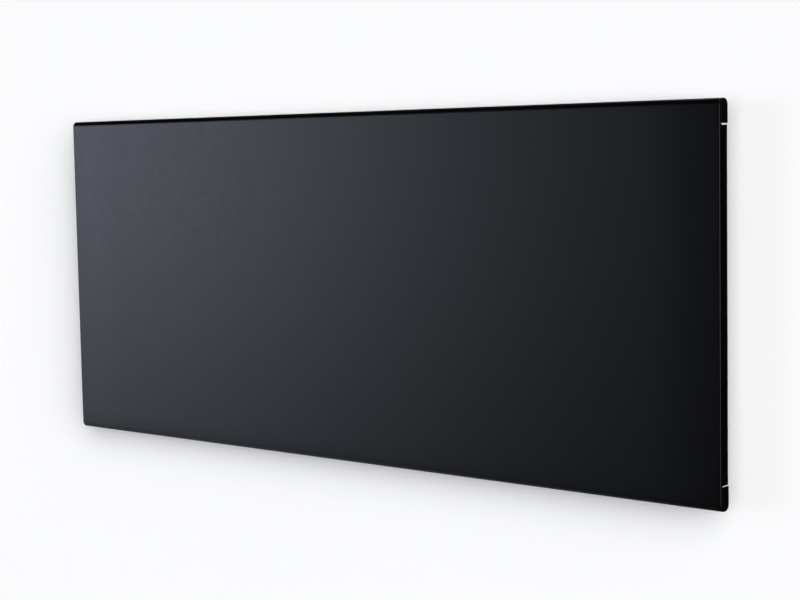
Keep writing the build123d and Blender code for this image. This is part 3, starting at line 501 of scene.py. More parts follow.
@dataclass(frozen=True)
class HookedCoating(Finish):
    """The bracket's coating, rubbed to bare steel on the saddles that carry the heater."""

    saddle_z: float = 100.0
    rub_band: float = 1.2
    rub_core: float = 0.4
    tear: float = 1.5
    front_y: float = -2.5
    bare: Colour = (0.42, 0.43, 0.44)
    bare_rougher: float = -0.2

    def wear(self, layers: Layers) -> None:
        """Adds the rubbed saddles to the scratches and dust.

        Args:
            layers: the material so far.
        """
        super().wear(layers)
        net = layers.net
        _, y, z = net.split(layers.place)
        off = net.math("ABSOLUTE", net.math("SUBTRACT", net.math("ABSOLUTE", z), self.saddle_z * MM))
        band = net.spread(off, (self.rub_core * self.rub_band * MM, self.rub_band * MM), (1.0, 0.0))
        ahead = net.spread(y, (self.front_y * MM - MM, self.front_y * MM), (1.0, 0.0))
        torn = net.spread(net.noise(layers.place, self.tear * MM, detail=4.0, rough=0.7), (0.38, 0.55))
        layers.lay(net.product(band, ahead, torn), self.bare, self.bare_rougher)


@dataclass(frozen=True)
class SprayedSheet(Finish):
    """The coating of the front: full outside, a thin dull overspray on every face that looks inward or back."""

    spray: Colour = (0.012, 0.012, 0.0126)
    spray_rougher: float = 0.22
    inward_gain: float = -50.0
    behind: Span = (0.5, 0.8)
    cloud: float = 25.0

    def wear(self, layers: Layers) -> None:
        """Adds the overspray inside and behind, under the scratches and dust.

        Args:
            layers: the material so far.
        """
        net = layers.net
        spot = net.split(layers.place)
        facing = net.normal()
        inward = [net.math("MULTIPLY", net.product(spot[i], facing[i]), self.inward_gain, clamp=True) for i in (0, 2)]
        inside = net.math("MAXIMUM", net.spread(facing[1], self.behind), net.math("MAXIMUM", *inward))
        clouds = net.noise(layers.place, self.cloud * MM, detail=4.0, rough=0.6)
        cloud = net.spread(clouds, (0.3, 0.7), (0.55, 1.0))
        layers.lay(net.product(inside, cloud), self.spray, self.spray_rougher)
        super().wear(layers)


@dataclass(frozen=True)
class StripedSleeve(Finish):
    """A sleeve in two colours that run along it in bands."""

    band: float = 1.3

    def build(self) -> Material:
        """Builds the striped material.

        Returns:
            The new material.
        """
        made = super().build()
        net = Net(made.node_tree)
        shader = next(n for n in made.node_tree.nodes if n.type == "BSDF_PRINCIPLED")
        x, y, _ = net.split(net.place())
        wave = net.math("SINE", net.math("MULTIPLY", net.math("ADD", x, y), pi / (self.band * MM)))
        stripes = net.blend(net.spread(wave, (-0.1, 0.1)), self.tone, self.other)
        net.tree.links.new(stripes, shader.inputs["Base Color"])
        return made


SATIN_BLACK = SprayedSheet(
    "satin_black_coating", (0.0005, 0.0005, 0.0006), (0.0008, 0.0008, 0.0010), (0.31, 0.35),
    size=0.35, depth=0.004, relief=0.05, dust=0.0)
CAP_PLASTIC = Finish(
    "cap_plastic", (0.0008, 0.0008, 0.0009), (0.0014, 0.0014, 0.0016), (0.38, 0.44),
    size=0.25, depth=0.02, relief=0.25, specular=0.3, dust=0.0)
ZINC_SHEET = Finish(
    "zinc_sheet", (0.46, 0.48, 0.50), (0.62, 0.64, 0.66), (0.28, 0.44), Pattern.SPANGLE,
    size=6.0, relief=0.12, metal=0.45, marks=0.5, dust=0.25, mask=(0.1, 0.9))
RAIL_ZINC = Finish(
    "rail_zinc", (0.56, 0.58, 0.60), (0.70, 0.72, 0.74), (0.26, 0.38), Pattern.SPANGLE,
    size=4.0, relief=0.12, metal=0.5, marks=0.8, dust=0.2, mask=(0.1, 0.9))
BRACKET_COATING = HookedCoating(
    "bracket_powder_coating", (0.012, 0.012, 0.013), (0.020, 0.020, 0.021), (0.34, 0.44), Pattern.PEEL,
    size=1.1, depth=0.06, relief=0.5, marks=0.25, dust=0.25)
BOX_PLASTIC = Finish(
    "box_plastic", (0.018, 0.018, 0.019), (0.026, 0.026, 0.028), (0.48, 0.60),
    size=0.4, depth=0.03, relief=0.5, marks=0.15, dust=0.3)
GLAND_NYLON = Finish(
    "gland_nylon", (0.022, 0.022, 0.023), (0.030, 0.030, 0.031), (0.36, 0.46),
    size=0.8, relief=0.25, dust=0.2)
BRIGHT_ZINC = Finish(
    "bright_zinc", (0.52, 0.55, 0.58), (0.72, 0.73, 0.70), (0.22, 0.36), Pattern.BRUSHED,
    size=0.3, depth=0.008, metal=0.65, marks=0.3)
BLACK_OXIDE = Finish(
    "black_oxide", (0.018, 0.018, 0.019), (0.035, 0.034, 0.033), (0.34, 0.48),
    size=0.6, metal=0.6, marks=0.3)
RIVET_ALUMINIUM = Finish(
    "rivet_aluminium", (0.60, 0.61, 0.62), (0.76, 0.77, 0.78), (0.26, 0.40),
    size=0.5, metal=0.65, marks=0.4)
RUBBER = Finish(
    "black_rubber", (0.014, 0.014, 0.014), (0.028, 0.027, 0.026), (0.62, 0.78),
    size=0.7, depth=0.03, relief=0.4, specular=0.35, dust=0.4)
SILICONE = Finish(
    "red_silicone", (0.36, 0.06, 0.04), (0.46, 0.10, 0.06), (0.42, 0.55), size=1.0, dust=0.0)
MICA = Finish(
    "pressed_mica", (0.40, 0.31, 0.20), (0.62, 0.54, 0.42), (0.30, 0.50), Pattern.FLAKES,
    size=3.0, depth=0.05, relief=0.4, coat=0.15, dust=0.0, mask=(0.05, 0.55))
RESISTANCE_FOIL = Finish(
    "resistance_foil", (0.36, 0.35, 0.33), (0.52, 0.51, 0.49), (0.30, 0.42), Pattern.BRUSHED,
    size=0.4, metal=1.0, dust=0.0)
BRIGHT_FOIL = Finish(
    "bright_foil", (0.80, 0.81, 0.82), (0.90, 0.90, 0.91), (0.12, 0.24), Pattern.BRUSHED,
    size=0.8, depth=0.02, metal=1.0, dust=0.0)
FIBRE_BOARD = Finish(
    "fibre_board", (0.66, 0.62, 0.54), (0.84, 0.81, 0.74), (0.85, 0.95),
    size=1.5, depth=0.3, relief=0.7, specular=0.2, dust=0.0)
TINNED_BRASS = Finish(
    "tinned_brass", (0.62, 0.58, 0.46), (0.76, 0.73, 0.62), (0.22, 0.36), size=0.6, metal=1.0)
STEATITE = Finish(
    "steatite", (0.74, 0.72, 0.67), (0.84, 0.82, 0.78), (0.30, 0.45), size=0.8, depth=0.02, coat=0.2)
NICKEL = Finish(
    "nickel_plate", (0.50, 0.49, 0.46), (0.64, 0.63, 0.60), (0.18, 0.30), Pattern.BRUSHED,
    size=0.4, metal=1.0)
LIVE_SLEEVE = Finish("live_sleeve", (0.14, 0.06, 0.03), (0.20, 0.09, 0.04), (0.45, 0.6), size=0.5)
NEUTRAL_SLEEVE = Finish("neutral_sleeve", (0.03, 0.11, 0.38), (0.05, 0.15, 0.46), (0.45, 0.6), size=0.5)
EARTH_SLEEVE = StripedSleeve("earth_sleeve", (0.10, 0.33, 0.05), (0.62, 0.52, 0.04), (0.45, 0.6), size=0.5)

CAD_FINISHES: dict[str, Finish] = {
    "corner_cap_top_left": CAP_PLASTIC, "corner_cap_top_right": CAP_PLASTIC,
    "corner_cap_bottom_left": CAP_PLASTIC, "corner_cap_bottom_right": CAP_PLASTIC,
    "front_mica_sheet": MICA, "rear_mica_sheet": MICA, "heating_track": RESISTANCE_FOIL,
    "track_tags": TINNED_BRASS, "reflector_foil": BRIGHT_FOIL, "insulation_board": FIBRE_BOARD,
    "back_cover": ZINC_SHEET, "hanging_rail_left": RAIL_ZINC, "hanging_rail_right": RAIL_ZINC,
    "terminal_box": BOX_PLASTIC, "box_lid": BOX_PLASTIC, "lid_seal": SILICONE, "box_screws": BRIGHT_ZINC,
    "terminal_block": STEATITE, "clamp_screws": BRIGHT_ZINC, "lead_grommet": RUBBER,
    "earth_stud": BRIGHT_ZINC, "earth_nuts": TINNED_BRASS, "earth_tag": TINNED_BRASS,
    "gland_body": GLAND_NYLON, "gland_seal": RUBBER, "gland_lock_nut": GLAND_NYLON,
    "thermal_cutouts": NICKEL, "live_leads": LIVE_SLEEVE, "neutral_lead": NEUTRAL_SLEEVE,
    "earth_lead": EARTH_SLEEVE, "wall_bracket": BRACKET_COATING, "wall_bumpers": RUBBER,
}


def dress_frame(finishes: dict[str, Finish]) -> None:
    """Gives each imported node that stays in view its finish.

    Args:
        finishes: node name to finish.
    """
    for node, finish in finishes.items():
        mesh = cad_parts[node].data
        mesh.materials.clear()
        mesh.materials.append(finish.material())
        log.info("node %s dressed in %s", node, finish.name)


# ---- Mesh helpers ------------------------------------------------------------


def to_mesh(name: str, bm: BMesh, smooth_under: float = SMOOTH_UNDER) -> Mesh:
    """Turns a bmesh into a mesh with smooth faces and sharp edges.

    Args:
        name: the mesh's name.
        bm: the finished bmesh, which is freed.
        smooth_under: edges that turn by more degrees than this stay sharp.

    Returns:
        The mesh.
    """
    mesh = bpy.data.meshes.new(name)
    bm.to_mesh(mesh)
    bm.free()
    mesh.shade_smooth()
    mesh.set_sharp_from_angle(angle=radians(smooth_under))
    return mesh


def piece(name: str, mesh: Mesh, finish: Finish, slot: str, body: str, *nodes: str) -> Object:
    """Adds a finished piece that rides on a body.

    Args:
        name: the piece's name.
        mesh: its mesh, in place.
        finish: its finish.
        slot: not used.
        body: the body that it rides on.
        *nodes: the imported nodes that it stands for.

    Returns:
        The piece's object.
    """
    mesh.name = name
    if not mesh.materials:
        mesh.materials.append(finish.material())
    made = add_object(name, mesh)
    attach(made, body)
    if nodes:
        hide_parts(*nodes)
    log.info("piece %s: %d faces on %s", name, len(mesh.polygons), body)
    return made


def turned(rows: Rows, around: int, closed: bool) -> BMesh:
    """A body made of rings round the Y axis, with its radius and place given for each ring.

    Args:
        rows: radius and Y of each ring, in millimetres, as numbers or as functions of the angle.
        around: points in a ring.
        closed: join the last ring to the first, as on a nut or a washer; otherwise a radius of 0 caps an end.

    Returns:
        The bmesh.
    """
    bm = bmesh.new()
    rings: list[list[bmesh.types.BMVert]] = []
    for radius, along in rows:
        if radius == 0:
            rings.append([bm.verts.new(mm(0, along, 0))])
            continue
        ring = []
        for step in range(around):
            angle = tau * step / around
            r = radius(angle) if callable(radius) else radius
            y = along(angle) if callable(along) else along
            ring.append(bm.verts.new(mm(r * cos(angle), y, r * sin(angle))))
        rings.append(ring)
    pairs = list(zip(rings, rings[1:] + (rings[:1] if closed else [])))
    for low, high in pairs:
        for step in range(around):
            after = (step + 1) % around
            corners = [low[step % len(low)], low[after % len(low)], high[after % len(high)], high[step % len(high)]]
            face = list(dict.fromkeys(corners))
            if len(face) > 2:
                bm.faces.new(face)
    bmesh.ops.recalc_face_normals(bm, faces=bm.faces)
    return bm


def hexagon(across: float) -> Ring:
    """The radius of a hexagon at each angle.

    Args:
        across: distance between two flats.

    Returns:
        The function of the angle.
    """
    sixth = pi / 3
    return lambda angle: across / 2 / cos((angle + sixth / 2) % sixth - sixth / 2)


def chamfered(outline: Ring, edge: float, face: float, slope: float) -> Ring:
    """The height of a face whose corners are turned off on a cone.

    Args:
        outline: radius of the outline at each angle.
        edge: radius where the cone starts.
        face: Y of the face.
        slope: fall of the cone, with the sign of its direction.

    Returns:
        The function of the angle.
    """
    return lambda angle: face + slope * max(0.0, outline(angle) - edge)


# ---- What repeats: one tree that puts a piece on points ----------------------


class Repeater:
    """A Geometry Nodes tree that puts a piece on the points of a mesh, each turned on its own axis."""

    NAME = "repeat_on_points"
    AXIS = (0, 1, 0)

    def __init__(self) -> None:
        """Builds the tree with its named inputs."""
        tree = bpy.data.node_groups.new(self.NAME, "GeometryNodeTree")
        tree.is_modifier = True
        self.tree = tree
        kinds = {
            "Geometry": "NodeSocketGeometry", "Piece": "NodeSocketObject", "Material": "NodeSocketMaterial",
            "Axis": "NodeSocketVector", "Turn": "NodeSocketFloat", "Seed": "NodeSocketInt",
        }
        for label, kind in kinds.items():
            tree.interface.new_socket(name=label, in_out="INPUT", socket_type=kind)
        tree.interface.new_socket(name="Geometry", in_out="OUTPUT", socket_type="NodeSocketGeometry")
        net = Net(tree)
        source = net.add("NodeGroupInput").outputs
        info = net.add("GeometryNodeObjectInfo", {"Object": source["Piece"]})
        stored = net.add("GeometryNodeInputNamedAttribute", {"Name": "turn"}, data_type="FLOAT")
        chance = net.add("FunctionNodeRandomValue", {2: 0.0, 3: source["Turn"], "Seed": source["Seed"]},
                         data_type="FLOAT")
        angle = net.math("ADD", chance.outputs[1], stored.outputs[0])
        turn = net.add("FunctionNodeAxisAngleToRotation", {"Axis": source["Axis"], "Angle": angle})
        placed = net.add("GeometryNodeInstanceOnPoints", {
            "Points": source["Geometry"], "Instance": info.outputs["Geometry"], "Rotation": turn.outputs[0],
        })
        real = net.add("GeometryNodeRealizeInstances", {"Geometry": placed.outputs[0]})
        dressed = net.add("GeometryNodeSetMaterial", {"Geometry": real.outputs[0], "Material": source["Material"]})
        net.add("NodeGroupOutput", {"Geometry": dressed.outputs[0]})

    def mesh(self, name: str, part: Mesh, places: list[Vector], finish: Finish,
             turns: list[float] | None = None, random_turn: float = 0.0, seed: int = 1) -> Mesh:
        """Puts the part on each place and returns one plain mesh.

        Args:
            name: name of the mesh.
            part: the mesh of one piece, at the origin.
            places: where the pieces go.
            finish: their finish.
            turns: angle of each piece, in radians.
            random_turn: largest angle added at random.
            seed: seed of the random angles.

        Returns:
            The realized mesh.
        """
        points = bpy.data.meshes.new(name + "_points")
        points.from_pydata([tuple(p) for p in places], [], [])
        turn = points.attributes.new("turn", "FLOAT", "POINT")
        turn.data.foreach_set("value", turns or [0.0] * len(places))
        master = add_object(name + "_one", part)
        host = add_object(name + "_host", points)
        modifier = host.modifiers.new("repeat", "NODES")
        modifier.node_group = self.tree
        values = {"Piece": master, "Material": finish.material(), "Axis": self.AXIS, "Turn": random_turn, "Seed": seed}
        for item in self.tree.interface.items_tree:
            if item.in_out == "INPUT" and item.name in values:
                modifier[item.identifier] = values[item.name]
        host.update_tag()
        graph = bpy.context.evaluated_depsgraph_get()
        result = bpy.data.meshes.new_from_object(host.evaluated_get(graph))
        host.modifiers.remove(modifier)
        for made in (host, master):
            bpy.data.objects.remove(made)
        bpy.data.meshes.remove(points)
        bpy.data.meshes.remove(part)
        result.name = name
        result.set_sharp_from_angle(angle=radians(SMOOTH_UNDER))
        return result


# ---- Front tray --------------------------------------------------------------


@dataclass
class FrontTray:
    """The folded front: flat face, rolled top and bottom, side folds and notched corners, in millimetres."""

    CUT_WITHIN = 1e-7  # metres
    MERGE_WITHIN = 1e-6  # metres

    width: float = 1200.0
    height: float = 500.0
    depth: float = 20.0
    wall: float = 50.0
    edge_r: float = 8.0
    fold_r: float = 2.5
    sheet: float = 1.0
    lip: float = 5.0
    flange: float = 18.0
    rear_lip: float = 24.0
    notch: float = 32.0
    cap_plate: float = 2.0
    cut_edge: float = 0.15
    cut_over: float = 50.0
    cut_steps: int = 2
    column: float = 100.0
    roll_end: float = 0.02
    roll_steps: int = 16
    fold_steps: int = 9

    def profile(self) -> list[tuple[float, float, float, float]]:
        """The side view from the lower rear lip round to the upper one.

        Returns:
            Depth, height and the outward normal's two parts for each point.
        """
        half, r = self.height / 2, self.edge_r
        points = [(self.depth, self.rear_lip - half, 1.0, 0.0)]
        notch_z = half - self.notch
        corners = [
            (self.depth - r, r - half, 0.0), (r, r - half, -90.0),
            (r, half - r, -180.0), (self.depth - r, half - r, -270.0),
        ]
        for number, (centre_d, centre_z, start) in enumerate(corners):
            if number == 2:
                points += [(0.0, z, -1.0, 0.0) for z in (-notch_z, -notch_z / 2, 0.0, notch_z / 2, notch_z)]
            for step in range(self.roll_steps + 1):
                angle = radians(start - 90.0 * step / self.roll_steps)
                nd, nz = cos(angle), sin(angle)
                points.append((centre_d + r * nd, centre_z + r * nz, nd, nz))
        points.append((self.depth, half - self.rear_lip, 1.0, 0.0))
        return points

    def across(self) -> list[tuple[float, float]]:
        """How far the sheet is folded, from its middle to the free edge of the flange.

        Returns:
            X and the inset of the profile at each step, on the right side.
        """
        half = self.width / 2
        rows = [(half - self.column * k, 0.0) for k in (5, 3, 1)]
        start = half - self.fold_r
        for step in range(self.fold_steps + 1):
            angle = radians(90.0 * step / self.fold_steps)
            rows.append((start + self.fold_r * sin(angle), self.fold_r * (1 - cos(angle))))
        return rows + [(half, self.lip), (half, self.edge_r - self.roll_end), (half, self.flange)]

    def surface(self) -> BMesh:
        """The outside of the sheet before its corners are cut.

        Returns:
            The open surface.
        """
        bm = bmesh.new()
        columns = self.across()
        signed = [(-x, t) for x, t in reversed(columns)] + [(0.0, 0.0)] + columns
        grid: list[list[bmesh.types.BMVert | None]] = []
        for depth, z, nd, nz in self.profile():
            row: list[bmesh.types.BMVert | None] = []
            on_front = nd == -1.0 and depth == 0.0
            for x, inset in signed:
                if inset >= self.edge_r and not on_front:
                    row.append(None)
                    continue
                row.append(bm.verts.new(mm(x, depth - inset * nd - self.wall, z - inset * nz)))
            grid.append(row)
        for low, high in zip(grid, grid[1:]):
            for i in range(len(signed) - 1):
                face = [low[i], low[i + 1], high[i + 1], high[i]]
                if None not in face:
                    bm.faces.new(face)
        return bm

    def trim(self, bm: BMesh) -> None:
        """Cuts the notches for the corner caps out of the folds.

        Args:
            bm: the surface, changed in place.
        """
        plate_x = (self.width / 2 - self.cap_plate) * MM
        notch_z = (self.height / 2 - self.notch) * MM
        lip_y = (self.lip - self.wall) * MM
        cuts = [(Vector((side * plate_x, 0, 0)), Vector((side, 0, 0))) for side in (-1, 1)]
        cuts += [(Vector((0, 0, rise * notch_z)), Vector((0, 0, rise))) for rise in (-1, 1)]
        for spot, normal in cuts:
            everything = bm.verts[:] + bm.edges[:] + bm.faces[:]
            bmesh.ops.bisect_plane(bm, geom=everything, dist=self.CUT_WITHIN, plane_co=spot, plane_no=normal)

        def at_corners() -> list[bmesh.types.BMFace]:
            """The faces outside both cuts."""
            middles = [(f, f.calc_center_median()) for f in bm.faces]
            return [f for f, c in middles if abs(c.x) > plate_x and abs(c.z) > notch_z]

        outer = at_corners()
        edges = list({e for f in outer for e in f.edges})
        verts = list({v for f in outer for v in f.verts})
        bmesh.ops.bisect_plane(bm, geom=verts + edges + outer, dist=self.CUT_WITHIN,
                               plane_co=Vector((0, lip_y, 0)), plane_no=Vector((0, 1, 0)))
        behind = [f for f in at_corners() if f.calc_center_median().y > lip_y]
        bmesh.ops.delete(bm, geom=behind, context="FACES")

    def build(self) -> Object:
        """Builds the tray with its wall and its broken edges.

        Returns:
            The piece.
        """
        bm = self.surface()
        self.trim(bm)
        bmesh.ops.remove_doubles(bm, verts=bm.verts, dist=self.MERGE_WITHIN)
        bmesh.ops.recalc_face_normals(bm, faces=bm.faces)
        front = min(bm.faces, key=lambda f: f.calc_center_median().y)
        if front.normal.y > 0:
            bmesh.ops.reverse_faces(bm, faces=bm.faces)
        made = piece("front_panel", to_mesh("front_panel", bm), SATIN_BLACK, "front_coating", HEATER, "front_tray")
        wall = made.modifiers.new("wall", "SOLIDIFY")
        wall.thickness, wall.offset, wall.use_even_offset = self.sheet * MM, -1.0, True
        broken = made.modifiers.new("broken_edges", "BEVEL")
        broken.width, broken.segments, broken.limit_method = self.cut_edge * MM, self.cut_steps, "ANGLE"
        broken.angle_limit = radians(self.cut_over)
        broken.harden_normals = True
        return made


# ---- Fasteners ---------------------------------------------------------------


@dataclass
class CoverFasteners:
    """Studs, washers and nuts round the flange of the back cover, in millimetres."""

    flange_y: float = -48.2
    sheet_y: float = -49.0
    x_out: float = 561.0
    z_out: float = 221.0
    along: int = 9
    up: int = 3
    stud_r: float = 2.0
    stud_end: float = -43.0
    pitch: float = 0.7
    thread: float = 0.3
    thread_steps: int = 6
    stud_tip: float = 0.35
    stud_sides: int = 18
    washer_r: float = 4.5
    washer: float = 0.8
    washer_play: float = 0.3
    washer_edge: float = 0.15
    washer_sides: int = 36
    nut_across: float = 7.0
    nut: float = 3.2
    nut_play: float = 0.05
    nut_mouth: float = 0.4
    nut_fall: float = 0.55
    nut_sides: int = 48

    def places(self, y: float) -> list[Vector]:
        """The centre of each stud at a depth.

        Args:
            y: Y of the places.

        Returns:
            The places.
        """
        step_x = 2 * self.x_out / (self.along - 1)
        step_z = 2 * self.z_out / (self.up + 1)
        rows = [(i * step_x - self.x_out, z) for i in range(self.along) for z in (-self.z_out, self.z_out)]
        rows += [(x, (i + 1) * step_z - self.z_out) for i in range(self.up) for x in (-self.x_out, self.x_out)]
        return [mm(x, y, z) for x, z in rows]

    def ridge(self, y: float, length: float) -> Ring:
        """The thread round the stud at a height.

        Args:
            y: the height.
            length: length of the stud.

        Returns:
            The radius at each angle.
        """
        root = self.stud_r - self.thread
        end = min(1.0, (length - y) / self.pitch + self.stud_tip)

        def radius(angle: float) -> float:
            """The radius at an angle."""
            phase = y / self.pitch + angle / tau
            return (root + self.thread * (1 - abs(2 * (phase - floor(phase)) - 1))) * end
        return radius

    def stud(self) -> Mesh:
        """One stud with a rolled thread and a pointed end, standing on the origin.

        Returns:
            The mesh.
        """
        length = self.stud_end - self.sheet_y
        steps = int(length / self.pitch * self.thread_steps)
        rows: Rows = [(0, 0.0), (self.stud_r - self.thread, 0.0)]
        rows += [(self.ridge(length * i / steps, length), length * i / steps) for i in range(1, steps + 1)]
        return to_mesh("stud", turned(rows + [(0, length)], self.stud_sides, False), smooth_under=50)

    def washer_mesh(self) -> Mesh:
        """One washer with rounded edges, lying on the origin.

        Returns:
            The mesh.
        """
        bore, edge, top = self.stud_r + self.washer_play, self.washer_edge, self.washer
        rows = [(bore, edge), (bore + edge, 0), (self.washer_r - edge, 0), (self.washer_r, edge),
                (self.washer_r, top - edge), (self.washer_r - edge, top), (bore + edge, top), (bore, top - edge)]
        return to_mesh("washer", turned(rows, self.washer_sides, True), smooth_under=30)

    def nut_mesh(self) -> Mesh:
        """One nut with chamfered corners and a countersunk bore, standing on the origin.

        Returns:
            The mesh.
        """
        outline = hexagon(self.nut_across)
        bore, mouth, top = self.stud_r + self.nut_play, self.nut_mouth, self.nut
        edge = self.nut_across / 2 - self.nut_play
        rows: Rows = [
            (bore, mouth), (bore + mouth, 0.0), (edge, 0.0),
            (outline, chamfered(outline, edge, 0.0, self.nut_fall)),
            (outline, chamfered(outline, edge, top, -self.nut_fall)),
            (edge, top), (bore + mouth, top), (bore, top - mouth),
        ]
        return to_mesh("nut", turned(rows, self.nut_sides, True), smooth_under=20)

    def build(self, repeater: Repeater) -> None:
        """Builds the three groups.

        Args:
            repeater: the tree that repeats them.
        """
        nut_y = self.flange_y + self.washer
        groups = [
            ("flange_studs", self.stud(), self.sheet_y, "weld_studs", 1),
            ("flange_washers", self.washer_mesh(), self.flange_y, "stud_washers", 2),
            ("flange_nuts", self.nut_mesh(), nut_y, "stud_nuts", 3),
        ]
        for name, part, y, node, seed in groups:
            mesh = repeater.mesh(name, part, self.places(y), BRIGHT_ZINC, random_turn=tau, seed=seed)
            piece(name, mesh, BRIGHT_ZINC, "zinc_fasteners", HEATER, node)


@dataclass
class RailRivets:
    """Blind rivets through the flanges of both hanging rails, in millimetres."""

    seat_y: float = -37.5
    inside_y: float = -39.5
    rail_x: float = 266.0
    reach: float = 22.5
    low: float = -125.0
    count: int = 4
    head_r: float = 3.2
    head: float = 1.0
    shank_r: float = 1.55
    bulb_r: float = 2.4
    bulb: float = 2.0
    bulb_round: float = 0.6
    mandrel_r: float = 0.95
    mandrel_play: float = 0.05
    mandrel_edge: float = 0.08
    broken_end: tuple[Span, ...] = ((1.0, 0.45), (0.4, 0.38), (0.0, 0.5))
    under_edge: float = 0.1
    rim: float = 0.12
    dome_steps: int = 8
    sides: int = 32

    def places(self) -> list[Vector]:
        """The centre of each rivet on its seat.

        Returns:
            The places.
        """
        step = -2 * self.low / (self.count - 1)
        return [
            mm(side * self.rail_x + flange * self.reach, self.seat_y, self.low + i * step)
            for side in (-1, 1) for flange in (-1, 1) for i in range(self.count)
        ]

    def rivet(self) -> Mesh:
        """One set rivet: a domed head with the broken mandrel in it, and its bulb inside the cover.

        Returns:
            The mesh.
        """
        grip = self.inside_y - self.seat_y
        rows: Rows = [(0, grip - self.bulb), (self.bulb_r * self.bulb_round, grip - self.bulb)]
        rows += [(self.bulb_r, grip - self.bulb * self.bulb_round), (self.bulb_r, grip), (self.shank_r, grip)]
        rows += [(self.shank_r, 0.0), (self.head_r - self.under_edge, 0.0), (self.head_r, self.rim)]
        for step in range(1, self.dome_steps):
            share = step / self.dome_steps
            radius = self.head_r - share * (self.head_r - self.mandrel_r)
            rows.append((radius, self.rim + (self.head - self.rim) * sin(share * pi / 2)))
        rows += [(self.mandrel_r + self.mandrel_play, self.head), (self.mandrel_r, self.head - self.mandrel_edge)]
        rows += [(self.mandrel_r * r, self.head * y) for r, y in self.broken_end]
        return to_mesh("rivet", turned(rows, self.sides, False), smooth_under=40)

    def build(self, repeater: Repeater) -> None:
        """Builds the rivets.

        Args:
            repeater: the tree that repeats them.
        """
        mesh = repeater.mesh("rivets", self.rivet(), self.places(), RIVET_ALUMINIUM, random_turn=tau, seed=4)
        piece("rivets", mesh, RIVET_ALUMINIUM, "aluminium_rivets", HEATER, "rail_rivets")


@dataclass
class LobeScrews:
    """Pan-head screws with a six-lobe recess, in millimetres."""

    name: str
    node: str
    slot: str
    finish: Finish
    spots: list[tuple[float, float]]
    seat_y: float
    length: float
    seed: int
    head_r: float = 2.9
    head: float = 2.0
    shank_r: float = 1.45
    recess_r: float = 1.35
    recess: float = 1.2
    lobe: float = 0.13
    lobe_count: int = 6
    fall: float = 0.45
    rim: float = 0.12
    point: float = 2.0
    point_r: float = 0.35
    dome_rings: tuple[float, ...] = (0.95, 0.88, 0.8, 0.7)
    mouth: Span = (1.08, 0.07)
    recess_floor: Span = (0.9, 0.15)
    sides: int = 48

    def lobes(self, scale: float) -> Ring:
        """The outline of the recess.

        Args:
            scale: share of its full size.

        Returns:
            The radius at each angle.
        """
        return lambda angle: scale * self.recess_r * (1 + self.lobe * cos(self.lobe_count * angle))

    def dome(self, radius: float) -> float:
        """Height of the head's face at a radius."""
        share = min(1.0, radius / self.head_r)
        return self.head - (self.head * self.fall) * share ** 3

    def screw(self) -> Mesh:
        """One screw, with its head on the origin and its shank towards the room.

        Returns:
            The mesh.
        """
        rows: Rows = [
            (0, -self.length), (self.shank_r * self.point_r, -self.length), (self.shank_r, self.point - self.length),
            (self.shank_r, 0.0), (self.head_r - self.rim, 0.0), (self.head_r, self.rim),
            (self.head_r, self.dome(self.head_r)),
        ]
        for share in self.dome_rings:
            rows.append((self.head_r * share, self.dome(self.head_r * share)))
        (wide, sink), (narrow, dip) = self.mouth, self.recess_floor
        rows += [
            (self.lobes(wide), self.dome(self.recess_r)), (self.lobes(1.0), self.dome(self.recess_r) - sink),
            (self.lobes(narrow), self.head - self.recess), (0, self.head - self.recess - dip),
        ]
        return to_mesh("screw", turned(rows, self.sides, False), smooth_under=40)

    def build(self, repeater: Repeater) -> None:
        """Builds the screws.

        Args:
            repeater: the tree that repeats them.
        """
        places = [mm(x, self.seat_y, z) for x, z in self.spots]
        mesh = repeater.mesh(self.name, self.screw(), places, self.finish, random_turn=tau, seed=self.seed)
        piece(self.name, mesh, self.finish, self.slot, HEATER, self.node)


def corners(x: float, z: float, half_x: float, half_z: float) -> list[tuple[float, float]]:
    """The four corners of a rectangle, as X and Z.

    Args:
        x: X of its middle.
        z: Z of its middle.
        half_x: half its width.
        half_z: half its height.

    Returns:
        The corners.
    """
    return [(x + i * half_x, z + j * half_z) for i in (-1, 1) for j in (-1, 1)]


# ---- Cable gland -------------------------------------------------------------


